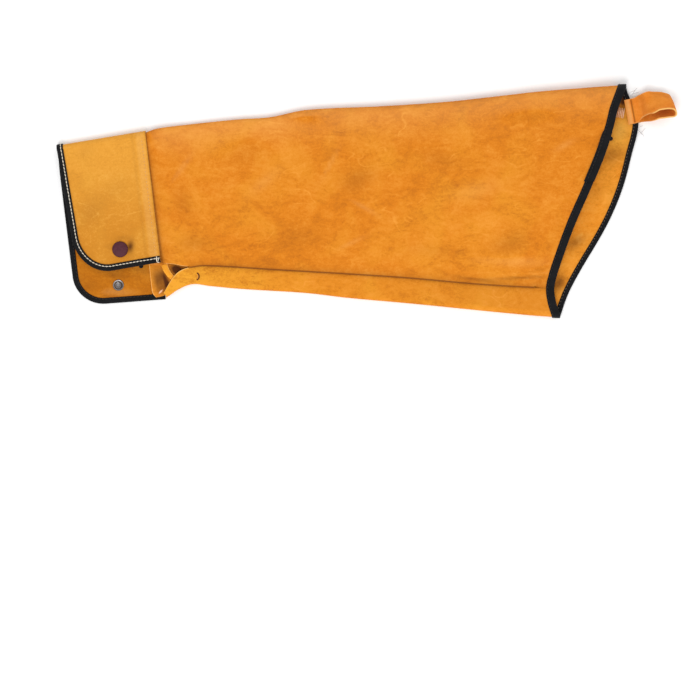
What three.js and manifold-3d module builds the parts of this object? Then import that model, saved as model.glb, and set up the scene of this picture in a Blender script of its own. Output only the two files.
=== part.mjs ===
import * as THREE from 'three';
import Module from 'manifold-3d';
import { mergeVertices } from 'three/addons/utils/BufferGeometryUtils.js';

// Welding sleeve of split cowhide, lying flat and empty. Millimetres, +Z up. +X runs from the cuff
// to the armhole, +Y towards the long folded edge. While it is drawn, x and y start at the point
// where the cuff's lapped edge meets the fold; the finished part stands on its box's bottom centre.

// Stock and the room between neighbours
const leather = 1.5; // split cowhide of the body, the cuff and the loop
const tape = 0.9; // one ply of the folded binding tape
const clearance = 0.3; // between pieces that touch
const slack = 0.15; // air that stiff layers keep over their lowest stack

// Body, one sheet folded at the top and sewn to itself on the front
const bodyLength = 480.6; // along the fold, from the cuff's lapped edge to the armhole
const foldRise = 45.4; // how far the fold climbs over that length
const wristDrop = 165.7; // from the fold's start down to the wrist's lower corner
const waistInset = 14; // how much narrower it is just past the wrist
const shoulderExtra = 19.1; // how much deeper the tip of the armhole reaches
const seamRiseWrist = 31.7; // the seam line lies this far above the lower fold at the wrist
const seamRiseShoulder = 27.8; // and at the armhole
const armholeSlant = 69; // how much shorter the sleeve is at its lower edge
const seamAllowance = 8; // turned in along the seam
const slitLength = 27; // the seam stays open this far from the cuff
const slitRoom = 0.6; // between the open slit's edge and the lower fold, at the cuff
const slitBend = 1.35; // how soon the slit's lower edge leaves the fold
const flapFade = 0.9; // the front leaves the flap's height over this share of the slit
const lapWidth = 12; // the body reaches this far into the cuff
const wristCorner = 10.5; // round of the back sheet's hidden corner
const wristFoldRadius = 1.8; // lower fold at the wrist, middle of the leather
const shoulderFoldRadius = 4; // lower fold at the armhole
const armholeFoldRadius = 9; // long fold at the armhole
const wristCrown = 1; // how far the front stands up between its edges, at the wrist
const armholeCrown = 7; // and at the armhole
const settleLength = 45; // the back sheet comes down to the table over this length

// Cuff, one panel folded at the top and open at the bottom
const cuffLength = 88; // along the fold
const cuffFall = 14.6; // how far its fold falls towards the open end
const lapSlant = 6.7; // degrees, lapped edge off square
const openSlant = 7.1; // degrees, open edge off square
const flapLength = 131; // front layer, from the fold to its bound lower edge
const underExtraOpen = 29; // the back layer reaches this much further at the open end
const underExtraLap = 37; // and at the lapped end
const flapCorner = 38; // round of the front layer
const underCorner = 28; // round of the back layer
const openFoldRadius = 4.3; // fold at the open end, middle of the leather
const lapFoldRadius = 5.4; // fold at the lapped end
const flapFallStart = 0.35; // share of the flap from which it bends down to the under layer

// Binding, a tape folded over the raw edges
const cuffBindingWidth = 6.6;
const armholeBindingWidth = 8.6;
const bandLength = 12.5; // flat stretch of leather that carries the armhole binding
const joinPlace = 0.2; // share down the front where the armhole binding's ends meet
const stepWidths = 2; // the body steps over a binding's ply within this many binding widths
const backStepEnd = 3; // and is up this many widths before the under layer's edge
const frontStepEnd = 1.4; // and down this many widths before the flap's edge
const tapeShoulder = 0.4; // share of the tape's thickness where its fold starts to bend

// Hanging loop, a strap sewn round the back edge of the armhole
const loopWidth = 24.5;
const loopReach = 37.7; // out from the leather's edge
const loopOpening = 14; // between its two plies, middle of the leather
const loopFlat = 6; // its plies stay flat this far out over the binding
const loopTab = 9; // upper ply on the inner face
const loopTail = 22; // lower ply on the outer face
const loopPlace = 0.108; // share down the armhole
const loopAngle = 10.5; // degrees
const loopTwist = 50; // degrees, at the far end
const loopTwistEnd = 0.6; // share of the reach at which it is fully twisted
const loopRestSide = 6; // the sheet stays lifted this far beside the loop
const loopRestReach = 26; // and this far in front of it
const loopRestFade = 30; // and comes down over this length

// Snap fastener
const capAlong = 0.56; // share along the cuff
const studAlong = 0.486;
const capInset = 3.75; // between the cap and the flap's binding
const studInset = 3.4; // between the stud's flange and the under layer's binding
const capRadius = 7.95;
const capHeight = 2.5;
const socketRadius = 6.2;
const socketHeight = 2.5;
const studRadius = 5.5;
const studHeight = 3.3;
const ballRadius = 3.3;
const flangeRadius = 6.6;
const rivetRadius = 1.7;
const rivetBore = 1.2;
const rimShare = 0.3; // share of the cap's height that is its upright rim
const snapSides = 24;

// Long fold: along = share of the body's length, rise = share of foldRise
const foldLine = [
  { along: 0, rise: -(leather + clearance) / foldRise },
  { along: 0.025, rise: 0.05 },
  { along: 0.094, rise: 0.147 },
  { along: 0.196, rise: 0.257 },
  { along: 0.258, rise: 0.3 },
  { along: 0.334, rise: 0.46 },
  { along: 0.488, rise: 0.54 },
  { along: 0.625, rise: 0.635 },
  { along: 0.73, rise: 0.755 },
  { along: 0.833, rise: 0.875 },
  { along: 1, rise: 1 },
];

// Seam line: drop = share from seamDropWrist to seamDropShoulder
const seamLine = [
  { along: 0, drop: 0 },
  { along: 0.05, drop: -0.04 },
  { along: 0.087, drop: 0.08 },
  { along: 0.123, drop: 0 },
  { along: 0.265, drop: 0.17 },
  { along: 0.53, drop: 0.51 },
  { along: 0.695, drop: 0.81 },
  { along: 0.833, drop: 0.97 },
  { along: 1, drop: 1.03 },
];

// Lower fold: drop = share from waistDrop to shoulderDrop, flare = share from waistDrop to wristDrop
const lowerLine = [
  { along: 0, drop: 0, flare: 1.25 },
  { along: 0.041, drop: 0, flare: 1 },
  { along: 0.068, drop: 0, flare: 0.41 },
  { along: 0.096, drop: 0, flare: 0.02 },
  { along: 0.134, drop: 0.063, flare: 0 },
  { along: 0.196, drop: 0.148, flare: 0 },
  { along: 0.334, drop: 0.275, flare: 0 },
  { along: 0.42, drop: 0.42, flare: 0 },
  { along: 0.557, drop: 0.6, flare: 0 },
  { along: 0.764, drop: 0.9, flare: 0 },
  { along: 0.85, drop: 1, flare: 0 },
  { along: 1, drop: 1.05, flare: 0 },
];

// Armhole: down = share from the long fold to the lower fold, reach = share of armholeSlant
const frontArmhole = [
  { down: 0, reach: 1 },
  { down: 0.1, reach: 0.87 },
  { down: 0.18, reach: 0.8 },
  { down: 0.3, reach: 0.67 },
  { down: 0.44, reach: 0.48 },
  { down: 0.6, reach: 0.25 },
  { down: 0.75, reach: 0.075 },
  { down: 0.87, reach: -0.035 },
  { down: 0.93, reach: -0.02 },
  { down: 1, reach: 0.055 },
];
const backArmhole = [
  { down: 0, reach: 1 },
  { down: 0.05, reach: 1.06 },
  { down: 0.15, reach: 1.19 },
  { down: 0.3, reach: 1.09 },
  { down: 0.45, reach: 0.95 },
  { down: 0.6, reach: 0.73 },
  { down: 0.8, reach: 0.34 },
  { down: 0.9, reach: 0.17 },
  { down: 1, reach: 0.055 },
];

// Soft dents of the front sheet: along and down = shares of its length and width, long and wide =
// half sizes of the dent in millimetres, turn = degrees off the length, deep = millimetres
const dents = [
  { along: 0.3, down: 0.28, long: 60, wide: 22, turn: 20, deep: 0.9 },
  { along: 0.52, down: 0.6, long: 80, wide: 24, turn: -12, deep: 0.8 },
  { along: 0.7, down: 0.35, long: 70, wide: 26, turn: 28, deep: 1 },
  { along: 0.86, down: 0.88, long: 55, wide: 14, turn: 4, deep: 1.2 },
  { along: 0.14, down: 0.7, long: 45, wide: 20, turn: -30, deep: 0.7 },
];

// Loop seen from its side: out = share of loopReach, open = share of half of loopOpening
const loopSide = [
  { out: 0.3, open: 0.8 },
  { out: 0.55, open: 0.93 },
  { out: 0.8, open: 1 },
  { out: 0.95, open: 0.72 },
  { out: 1, open: 0 },
];

// Mesh steps
const foldSteps = 8;
const turnSteps = 5;
const frontSteps = 13;
const backSteps = 10;
const bodyColumns = 15;
const cornerSteps = 8;
const flapSteps = 12;
const loopSteps = 42;
const loopStrips = 4;

// Sizes that follow
const halfLeather = leather / 2;
const ply = leather + clearance; // one layer of leather and its gap
const wrap = tape + clearance; // what a binding adds on each side of the leather
const cuffLevel = wrap + halfLeather; // middle of a bound sheet that lies on the table
const turnRadius = ply / 2;
const underLengthOpen = flapLength + underExtraOpen; // back layer at the open end
const underLengthLap = flapLength + underExtraLap; // back layer at the lapped end
const waistDrop = wristDrop - waistInset; // from the fold's start down to the narrowest place
const shoulderDrop = wristDrop + shoulderExtra; // and down to the tip of the armhole
const seamDropWrist = wristDrop - seamRiseWrist;
const seamDropShoulder = shoulderDrop - seamRiseShoulder;
const armholeWidth = shoulderDrop + foldRise;
const seamShare = (seamDropShoulder + foldRise) / armholeWidth;
const topShare = armholeFoldRadius / armholeWidth;
const lowShare = 1 - shoulderFoldRadius / armholeWidth;
const flapEdgeOpen = cuffLevel + leather + 2 * tape + 3 * clearance + slack;
const flapEdgeLap = cuffLevel + 3 * leather + tape + 4 * clearance + slack;
const loopRoot = leather + wrap + clearance + slack; // ply's middle off the sheet's middle
const loopLift = ply + 2 * slack; // the back sheet lies this much higher over the loop's tail
const holeRadius = rivetRadius + clearance;

const { lerp, smoothstep, degToRad, clamp } = THREE.MathUtils;

// A smooth line through a table's rows, read at any place of its first column
function smoothLine(rows, from, to) {
  const slope = (a, b) => (b[to] - a[to]) / (b[from] - a[from]);
  return (place) => {
    let i = 0;
    while (i < rows.length - 2 && place > rows[i + 1][from]) i += 1;
    const a = rows[i];
    const b = rows[i + 1];
    const span = b[from] - a[from];
    const t = (place - a[from]) / span;
    const chord = slope(a, b);
    if (t <= 0) return a[to] + t * span * chord;
    if (t >= 1) return b[to] + (t - 1) * span * chord;
    const before = i > 0 ? slope(rows[i - 1], b) : chord;
    const after = i < rows.length - 2 ? slope(a, rows[i + 2]) : chord;
    const t2 = t * t;
    const t3 = t2 * t;
    return a[to] * (2 * t3 - 3 * t2 + 1) + b[to] * (3 * t2 - 2 * t3)
      + span * before * (t3 - 2 * t2 + t) + span * after * (t3 - t2);
  };
}

const foldShare = smoothLine(foldLine, 'along', 'rise');
const seamDropShare = smoothLine(seamLine, 'along', 'drop');
const lowerDropShare = smoothLine(lowerLine, 'along', 'drop');
const flareShare = smoothLine(lowerLine, 'along', 'flare');
const frontReach = smoothLine(frontArmhole, 'down', 'reach');
const backReach = smoothLine(backArmhole, 'down', 'reach');

// Cuff: place in plan and height of its two layers. p = share along it, q = distance from its fold.
const cuffSlant = (p) => Math.tan(degToRad(lerp(openSlant, lapSlant, p)));
const cuffFoldY = (p) => -cuffFall * (1 - p);
const cuffFoldRadius = (p) => lerp(openFoldRadius, lapFoldRadius, p);
const cuffX = (p, q) => cuffLength * (p - 1) + cuffSlant(p) * q;

function flapHeight(p, q) {
  const top = cuffLevel + 2 * cuffFoldRadius(p);
  const edge = lerp(flapEdgeOpen, flapEdgeLap, clamp(p, 0, 1) ** 2);
  return lerp(top, edge, smoothstep(q, flapFallStart * flapLength, flapLength));
}

function roundedLength(p, length, corner) {
  const toEdge = corner - cuffLength * p;
  if (toEdge <= 0) return length - wrap;
  return length - wrap - corner + Math.sqrt(Math.max(corner ** 2 - toEdge ** 2, 0));
}

const flapEdge = (p) => roundedLength(p, flapLength, flapCorner);
const underEdge = (p) => roundedLength(p, lerp(underLengthOpen, underLengthLap, p), underCorner);

// Body: lines that its section follows at a place x along it
const lapX = (down) => Math.tan(degToRad(lapSlant)) * down * wristDrop;
const foldY = (x) => foldRise * foldShare(x / bodyLength);
const seamY = (x) => -lerp(seamDropWrist, seamDropShoulder, seamDropShare(x / bodyLength));
const lowerY = (x) => {
  const place = x / bodyLength;
  const drop = lerp(waistDrop, shoulderDrop, lowerDropShare(place));
  return -(drop + (wristDrop - waistDrop) * flareShare(place));
};
const lowerRadius = (x) => lerp(wristFoldRadius, shoulderFoldRadius, clamp(x / bodyLength, 0, 1));

// Rows of the body's sheet, all the way round: zone = stretch of the section, at = share of the
// stretch, down = share of the armhole's width, edge = the armhole line that the row ends at
function bodyRows() {
  const rows = [];
  const add = (zone, at, down, edge) => rows.push({ zone, at, down, edge });
  const foldDown = (at, flat) => flat + (Math.round(flat) - flat) * Math.sin(Math.PI * at);
  const half = foldSteps / 2;
  add('under', 0, seamShare, frontReach);
  add('strip', 0, seamShare, frontReach);
  add('strip', 0.5, lerp(seamShare, lowShare, 0.5), frontReach);
  for (let i = 0; i <= foldSteps; i += 1) {
    const at = i / foldSteps;
    add('lowerFold', at, foldDown(at, lowShare), i < half ? frontReach : backReach);
  }
  for (let i = 1; i < backSteps; i += 1) {
    add('back', i / backSteps, lerp(lowShare, topShare, i / backSteps), backReach);
  }
  for (let i = 0; i <= foldSteps; i += 1) {
    const at = i / foldSteps;
    add('topFold', at, foldDown(at, topShare), i < half ? backReach : frontReach);
  }
  for (let i = 1; i <= frontSteps; i += 1) {
    add('front', i / frontSteps, lerp(topShare, seamShare, i / frontSteps), frontReach);
  }
  for (let i = 1; i <= turnSteps; i += 1) {
    add('turn', i / turnSteps, seamShare, frontReach);
  }
  add('turned', 1, seamShare, frontReach);
  return rows;
}

// Columns of the body's sheet: its hidden wrist edge, the cuff's edge, the slit, then the long run
function bodyColumnShares() {
  const seamRun = bodyLength - armholeSlant - lapX(seamShare);
  const slitEnd = slitLength / seamRun;
  const bandStart = 1 - bandLength / seamRun;
  const shares = [-1, 0];
  for (const part of [0.1, 0.28, 0.5, 0.74, 1]) shares.push(part * slitEnd);
  for (let i = 1; i <= bodyColumns; i += 1) shares.push(lerp(slitEnd, bandStart, i / bodyColumns));
  shares.push(1);
  return shares;
}

const rows = bodyRows();
const columns = bodyColumnShares();
const stripColumn = 2;
const slitColumn = 6;
const seamEndColumn = columns.length - 3;
const bandColumn = columns.length - 2;

function armholeX(row) {
  return bodyLength - wrap - armholeSlant + armholeSlant * row.edge(row.down);
}

function bodyX(column, row) {
  const start = lapX(row.down);
  if (column > 0) return lerp(start, armholeX(row), columns[column]);
  const toCorner = wristCorner - (1 - row.down) * wristDrop;
  if (row.edge !== backReach || toCorner <= 0) return start - lapWidth;
  const round = wristCorner - Math.sqrt(wristCorner ** 2 - Math.min(toCorner, wristCorner) ** 2);
  return start - lapWidth + round;
}

// Height of the back sheet's middle: on the table, higher in the cuff, on the binding and on the loop
function backHeight(x, down, toArmhole) {
  const pastLap = x - lapX(down);
  const fromFold = down * wristDrop;
  const stepEnd = underLengthLap - backStepEnd * cuffBindingWidth;
  const onBinding = smoothstep(fromFold, stepEnd - stepWidths * cuffBindingWidth, stepEnd);
  const inCuff = cuffLevel + ply + wrap * onBinding - halfLeather;
  const atWrist = inCuff * (1 - smoothstep(pastLap, 0, settleLength));
  const atArmhole = wrap * (1 - smoothstep(toArmhole, bandLength, bandLength + settleLength));
  const fromLoop = Math.abs(down - loopPlace) * armholeWidth;
  const loopSideEnd = loopWidth / 2 + loopRestSide;
  const loopAcross = 1 - smoothstep(fromLoop, loopSideEnd, loopSideEnd + loopRestFade);
  const loopAlong = 1 - smoothstep(toArmhole, loopRestReach, loopRestReach + loopRestFade);
  return halfLeather + atWrist + atArmhole + loopLift * loopAcross * loopAlong;
}

function topRadius(x) {
  const p = 1 + x / cuffLength;
  if (p < 1) return cuffFoldRadius(p) - ply;
  return lerp(lapFoldRadius - ply, armholeFoldRadius, clamp(x / bodyLength, 0, 1));
}

function dentDepth(x, y, at) {
  let depth = 0;
  for (const dent of dents) {
    const centreX = dent.along * bodyLength;
    const centreY = lerp(foldY(centreX), seamY(centreX), dent.down);
    const turn = degToRad(dent.turn);
    const along = (x - centreX) * Math.cos(turn) + (y - centreY) * Math.sin(turn);
    const across = (y - centreY) * Math.cos(turn) - (x - centreX) * Math.sin(turn);
    depth += dent.deep * Math.exp(-((along / dent.long) ** 2) - (across / dent.wide) ** 2);
  }
  return depth * smoothstep(1 - at, 0, 0.12) * smoothstep(at, 0, 0.12);
}

// The body's section at one grid point: middle of the leather
function bodyPoint(column, rowIndex) {
  const row = rows[rowIndex];
  const x = bodyX(column, row);
  const toArmhole = armholeX(row) - x;
  const down = row.down;
  const pastLap = x - lapX(down);
  const inLap = pastLap < 0;
  const p = 1 + pastLap / cuffLength;
  const rTop = inLap ? cuffFoldRadius(p) - ply : topRadius(pastLap);
  const yTop = inLap ? cuffFoldY(p) - ply : foldY(x - lapX(0) * down);
  const rLow = lowerRadius(x);
  const yLow = lowerY(x);
  const back = backHeight(x, down, toArmhole);
  const backLow = backHeight(x, 1, toArmhole);
  const backTop = backHeight(x, 0, toArmhole);
  const slitShare = clamp(columns[column] / columns[slitColumn], 0, 1);
  const closing = 1 - (1 - slitShare) ** slitBend;
  const ySeam = seamY(x);
  const yStrip = lerp(yLow + rLow + slitRoom, ySeam, closing);
  const strip = backLow + 2 * rLow;
  const butted = column >= bandColumn;
  const seamStep = butted ? 0 : 2 * ply;
  const frontEdgeY = butted ? ySeam + clearance / 2 : ySeam + turnRadius;
  const stripEdgeY = butted ? ySeam - clearance / 2 : yStrip;

  const frontHeight = (at, y) => {
    const run = backTop + 2 * rTop;
    const crown = lerp(wristCrown, armholeCrown, clamp(x / bodyLength, 0, 1));
    const free = lerp(run, strip + seamStep, at) + crown * Math.sin(Math.PI * at) - dentDepth(x, y, at);
    const q = cuffFoldY(Math.min(p, 1)) - y;
    const stepEnd = flapLength - frontStepEnd * cuffBindingWidth;
    const pressed = wrap * smoothstep(q, stepEnd - stepWidths * cuffBindingWidth, stepEnd);
    const inCuff = flapHeight(Math.min(p, 1), q) - ply - pressed;
    return lerp(inCuff, free, smoothstep(pastLap, 0, flapFade * slitLength));
  };

  const arc = Math.PI * row.at;
  switch (row.zone) {
    case 'under':
      return new THREE.Vector3(x, yStrip + seamAllowance, strip);
    case 'strip':
      return new THREE.Vector3(x, lerp(stripEdgeY, yLow + rLow, row.at), strip);
    case 'lowerFold':
      return new THREE.Vector3(x, yLow + rLow * (1 - Math.sin(arc)), backLow + rLow * (1 + Math.cos(arc)));
    case 'back':
      return new THREE.Vector3(x, lerp(yLow + rLow, yTop - rTop, row.at), back);
    case 'topFold':
      return new THREE.Vector3(x, yTop - rTop * (1 - Math.sin(arc)), backTop + rTop * (1 - Math.cos(arc)));
    case 'front': {
      const y = lerp(yTop - rTop, frontEdgeY, row.at);
      return new THREE.Vector3(x, y, frontHeight(row.at, y));
    }
    case 'turn': {
      const edge = frontHeight(1, frontEdgeY);
      const y = frontEdgeY - turnRadius * Math.sin(arc);
      return new THREE.Vector3(x, y, edge - turnRadius + turnRadius * Math.cos(arc));
    }
    default: {
      const y = frontEdgeY + seamAllowance;
      const at = 1 - seamAllowance / (yTop - rTop - frontEdgeY);
      return new THREE.Vector3(x, y, frontHeight(at, y) - ply);
    }
  }
}

function bodyCell(column, rowIndex) {
  const zone = rows[rowIndex + 1].zone;
  const zoneBefore = rows[rowIndex].zone;
  if (zoneBefore === 'under' || zone === 'turn' || zone === 'turned') {
    return column >= slitColumn && column < seamEndColumn;
  }
  if (zone === 'strip' || zone === 'lowerFold') return column >= stripColumn;
  return true;
}

// A mesh from numbered corners and triangles
function meshGeometry(points, triangles) {
  const geometry = new THREE.BufferGeometry();
  const places = points.flatMap((v) => [v.x, v.y, v.z]);
  geometry.setAttribute('position', new THREE.Float32BufferAttribute(places, 3));
  geometry.setIndex(triangles.flat());
  return geometry;
}

// Unit normals of a grid of points, from its neighbours. It looks to the sheet's outer face.
function gridNormal(point, column, row, lastColumn, lastRow) {
  const before = (n) => Math.max(n - 1, 0);
  const alongRow = point(column, Math.min(row + 1, lastRow)).sub(point(column, before(row)));
  const alongColumn = point(Math.min(column + 1, lastColumn), row).sub(point(before(column), row));
  return alongRow.cross(alongColumn).normalize();
}

// A sheet of leather over a grid of middle points: two faces, and walls round every free edge
function sheetGeometry(lastColumn, lastRow, point, hasCell) {
  const corners = [];
  const numbers = new Map();
  const corner = (c, r, side) => {
    const key = `${c},${r},${side}`;
    if (!numbers.has(key)) {
      const normal = gridNormal(point, c, r, lastColumn, lastRow);
      numbers.set(key, corners.length);
      corners.push(point(c, r).addScaledVector(normal, side * halfLeather));
    }
    return numbers.get(key);
  };
  const triangles = [];
  const quad = (a, b, c, d) => triangles.push([a, b, c], [a, c, d]);
  const has = (c, r) => c >= 0 && r >= 0 && c < lastColumn && r < lastRow && hasCell(c, r);
  for (let c = 0; c < lastColumn; c += 1) {
    for (let r = 0; r < lastRow; r += 1) {
      if (!has(c, r)) continue;
      quad(corner(c, r, 1), corner(c, r + 1, 1), corner(c + 1, r + 1, 1), corner(c + 1, r, 1));
      quad(corner(c, r, -1), corner(c + 1, r, -1), corner(c + 1, r + 1, -1), corner(c, r + 1, -1));
      const wall = (c0, r0, c1, r1) => {
        quad(corner(c0, r0, 1), corner(c0, r0, -1), corner(c1, r1, -1), corner(c1, r1, 1));
      };
      if (!has(c - 1, r)) wall(c, r, c, r + 1);
      if (!has(c + 1, r)) wall(c + 1, r + 1, c + 1, r);
      if (!has(c, r - 1)) wall(c + 1, r, c, r);
      if (!has(c, r + 1)) wall(c, r + 1, c + 1, r + 1);
    }
  }
  return meshGeometry(corners, triangles);
}

// A tape folded over an edge: a U section swept through stations with a place, the sheet's normal,
// the way into the sheet for one millimetre of width, and how much wider the fold is there
function tapeGeometry(stations, width) {
  const section = (extra) => {
    const inner = halfLeather + clearance + extra;
    const outer = inner + tape;
    const tip = clearance + extra;
    const shoulder = tip + tape * tapeShoulder;
    const side = outer - tape * (1 - tapeShoulder);
    return [
      [width, -outer], [-shoulder, -outer], [-tip - tape, -side], [-tip - tape, side],
      [-shoulder, outer], [width, outer], [width, inner], [-tip, inner], [-tip, -inner], [width, -inner],
    ];
  };
  const corners = [];
  const size = section(0).length;
  for (const { place, normal, inward, extra } of stations) {
    for (const [across, up] of section(extra)) {
      corners.push(place.clone().addScaledVector(inward, across).addScaledVector(normal, up));
    }
  }
  const triangles = [];
  for (let i = 0; i < stations.length - 1; i += 1) {
    const near = i * size;
    const far = near + size;
    for (let j = 0; j < size; j += 1) {
      const k = (j + 1) % size;
      triangles.push([near + j, near + k, far + k], [near + j, far + k, far + j]);
    }
  }
  const outline = section(0).map(([across, up]) => new THREE.Vector2(across, up));
  const last = (stations.length - 1) * size;
  const way = Math.sign(THREE.ShapeUtils.area(outline));
  for (const [a, b, c] of THREE.ShapeUtils.triangulateShape(outline, [])) {
    const kept = Math.sign(THREE.ShapeUtils.area([outline[a], outline[b], outline[c]])) === way;
    const [second, third] = kept ? [b, c] : [c, b];
    triangles.push([a, third, second], [last + a, last + second, last + third]);
  }
  return facingOut(meshGeometry(corners, triangles));
}

// Turns a closed mesh's triangles over where it encloses less than nothing
function facingOut(geometry) {
  const index = geometry.getIndex();
  const places = geometry.getAttribute('position');
  const at = (i) => new THREE.Vector3().fromBufferAttribute(places, index.getX(i));
  let volume = 0;
  for (let i = 0; i < index.count; i += 3) volume += at(i).dot(at(i + 1).cross(at(i + 2)));
  if (volume > 0) return geometry;
  for (let i = 0; i < index.count; i += 3) {
    const second = index.getX(i + 1);
    index.setX(i + 1, index.getX(i + 2));
    index.setX(i + 2, second);
  }
  return geometry;
}

// Solids for joins and cuts
const wasm = await Module();
wasm.setup();

function toSolid(geometry) {
  const bare = geometry.clone();
  bare.deleteAttribute('normal');
  bare.deleteAttribute('uv');
  const merged = mergeVertices(bare, 1e-4);
  return new wasm.Manifold(new wasm.Mesh({
    numProp: 3,
    vertProperties: Float32Array.from(merged.getAttribute('position').array),
    triVerts: Uint32Array.from(merged.getIndex().array),
  }));
}

function fromSolid(solid) {
  const { vertProperties, triVerts } = solid.getMesh();
  const geometry = new THREE.BufferGeometry();
  geometry.setAttribute('position', new THREE.Float32BufferAttribute(vertProperties, 3));
  geometry.setIndex(new THREE.Uint32BufferAttribute(triVerts, 1));
  return geometry;
}

// Body
const bodyGeometry = facingOut(sheetGeometry(columns.length - 1, rows.length - 1, bodyPoint, bodyCell));

// Cuff: columns crowd at the open edge to follow the round corners
const cuffShares = [];
for (let i = 0; i < cornerSteps; i += 1) {
  cuffShares.push((flapCorner / cuffLength) * (1 - Math.cos((Math.PI / 2) * (i / cornerSteps))));
}
for (const part of [0, 0.3, 0.6, 0.85, 1]) cuffShares.push(lerp(flapCorner / cuffLength, 1, part));

const cuffRows = [];
for (let i = 0; i < flapSteps; i += 1) cuffRows.push({ zone: 'under', at: 1 - i / flapSteps });
for (let i = 0; i <= foldSteps; i += 1) cuffRows.push({ zone: 'fold', at: i / foldSteps });
for (let i = 1; i <= flapSteps; i += 1) cuffRows.push({ zone: 'flap', at: i / flapSteps });

function cuffPlace(p, q, height) {
  return new THREE.Vector3(cuffX(p, q), cuffFoldY(p) - q, height);
}

function cuffPoint(column, rowIndex) {
  const p = cuffShares[column];
  const { zone, at } = cuffRows[rowIndex];
  const radius = cuffFoldRadius(p);
  if (zone === 'fold') {
    const q = radius * (1 - Math.sin(Math.PI * at));
    return cuffPlace(p, q, cuffLevel + radius - radius * Math.cos(Math.PI * at));
  }
  if (zone === 'under') return cuffPlace(p, lerp(radius, underEdge(p), at), cuffLevel);
  const q = lerp(radius, flapEdge(p), at);
  return cuffPlace(p, q, flapHeight(p, q));
}

// Middle and normal of the cuff's flap at a place
function flapFrame(p, q) {
  const place = cuffPlace(p, q, flapHeight(p, q));
  const step = 0.5;
  const alongP = cuffPlace(p + step / cuffLength, q, flapHeight(p + step / cuffLength, q)).sub(place);
  const alongQ = cuffPlace(p, q + step, flapHeight(p, q + step)).sub(place);
  return { place, normal: alongQ.cross(alongP).normalize() };
}

const capDrop = flapEdge(capAlong) - cuffBindingWidth - capRadius - capInset;
const studDrop = underEdge(studAlong) - cuffBindingWidth - flangeRadius - studInset;
const capFrame = flapFrame(capAlong, capDrop);
const studFrame = { place: cuffPlace(studAlong, studDrop, cuffLevel), normal: new THREE.Vector3(0, 0, 1) };

// Puts a turned piece, drawn along +Y, on a sheet: its y starts at the middle of the leather
function onSheet(geometry, frame) {
  const turn = new THREE.Quaternion().setFromUnitVectors(new THREE.Vector3(0, 1, 0), frame.normal);
  return geometry.applyQuaternion(turn).translate(frame.place.x, frame.place.y, frame.place.z);
}

const cuffSheet = sheetGeometry(cuffShares.length - 1, cuffRows.length - 1, cuffPoint, () => true);
const punch = (frame) => {
  const pin = new THREE.CylinderGeometry(holeRadius, holeRadius, 4 * leather, snapSides);
  return toSolid(onSheet(pin, frame));
};
const cuffSolid = toSolid(facingOut(cuffSheet)).subtract(punch(capFrame)).subtract(punch(studFrame));
const cuffGeometry = fromSolid(cuffSolid);

// A station of a binding on the free edge of a grid, from the edge's run and the way into the sheet
function edgeStation(point, normal, [runAhead, runBehind], into, extra) {
  const run = runAhead.clone().sub(runBehind).normalize();
  const way = into.clone().sub(point).normalize();
  const square = way.clone().addScaledVector(run, -way.dot(run));
  return { place: point, normal, inward: way.divideScalar(square.length()), extra };
}

// Cuff binding: round the flap's lower edge, the open edge with the fold, and the under layer
function cuffBindingStations() {
  const lastColumn = cuffShares.length - 1;
  const lastRow = cuffRows.length - 1;
  const path = [];
  for (let c = lastColumn; c > 0; c -= 1) path.push([c, lastRow]);
  for (let r = lastRow; r >= 0; r -= 1) path.push([0, r]);
  for (let c = 1; c <= lastColumn; c += 1) path.push([c, 0]);
  const at = (i) => cuffPoint(...path[clamp(i, 0, path.length - 1)]);
  return path.map(([c, r], i) => {
    const normal = gridNormal(cuffPoint, c, r, lastColumn, lastRow);
    const run = at(i + 1).sub(at(i - 1)).normalize();
    return { place: at(i), normal, inward: run.cross(normal).normalize(), extra: 0 };
  });
}

// Armhole binding: once round the body's edge. Its end is lapped over its start on the front.
function armholeBindingStations() {
  const lastColumn = columns.length - 1;
  const lastRow = rows.length - 1;
  const edgeRows = [];
  rows.forEach((row, r) => {
    if (!['under', 'turn', 'turned'].includes(row.zone)) edgeRows.push(r);
  });
  const join = edgeRows.indexOf(rows.findIndex((row) => row.zone === 'front' && row.down > joinPlace));
  const loop = [...edgeRows.slice(join), ...edgeRows.slice(0, join + 2)];
  return loop.map((r, i) => {
    const ahead = loop[Math.min(i + 1, loop.length - 1)];
    const behind = loop[Math.max(i - 1, 0)];
    const point = bodyPoint(lastColumn, r);
    const into = bodyPoint(bandColumn, r);
    const nearRows = [r + 1, r - 1].filter((n) => edgeRows.includes(n));
    const first = nearRows.length === 2 ? nearRows[0] : Math.max(r, nearRows[0]);
    const second = nearRows.length === 2 ? nearRows[1] : Math.min(r, nearRows[0]);
    const along = bodyPoint(lastColumn, first).sub(bodyPoint(lastColumn, second));
    const normal = along.cross(point.clone().sub(into)).normalize();
    const extra = i >= loop.length - 2 ? wrap : 0;
    const ends = [bodyPoint(lastColumn, ahead), bodyPoint(lastColumn, behind)];
    return edgeStation(point, normal, ends, into, extra);
  });
}

// Hanging loop
const loopSpot = (() => {
  const row = { down: loopPlace, edge: backReach };
  const x = armholeX(row);
  const y = lerp(foldY(x), lowerY(x), loopPlace);
  return new THREE.Vector3(x, y, 0);
})();

const loopPath = (() => {
  const root = loopRoot;
  const half = loopOpening / 2;
  const side = loopSide.map(({ out, open }) => new THREE.Vector3(out * loopReach, open * half, 0));
  const under = side.slice(0, -1).reverse().map((v) => new THREE.Vector3(v.x, -v.y, 0));
  return new THREE.CatmullRomCurve3([
    new THREE.Vector3(-loopTab, root, 0), new THREE.Vector3(0, root, 0),
    new THREE.Vector3(loopFlat, root, 0), ...side, ...under, new THREE.Vector3(loopFlat, -root, 0),
    new THREE.Vector3(0, -root, 0), new THREE.Vector3(-loopTail, -root, 0),
  ], false, 'centripetal');
})();

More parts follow.
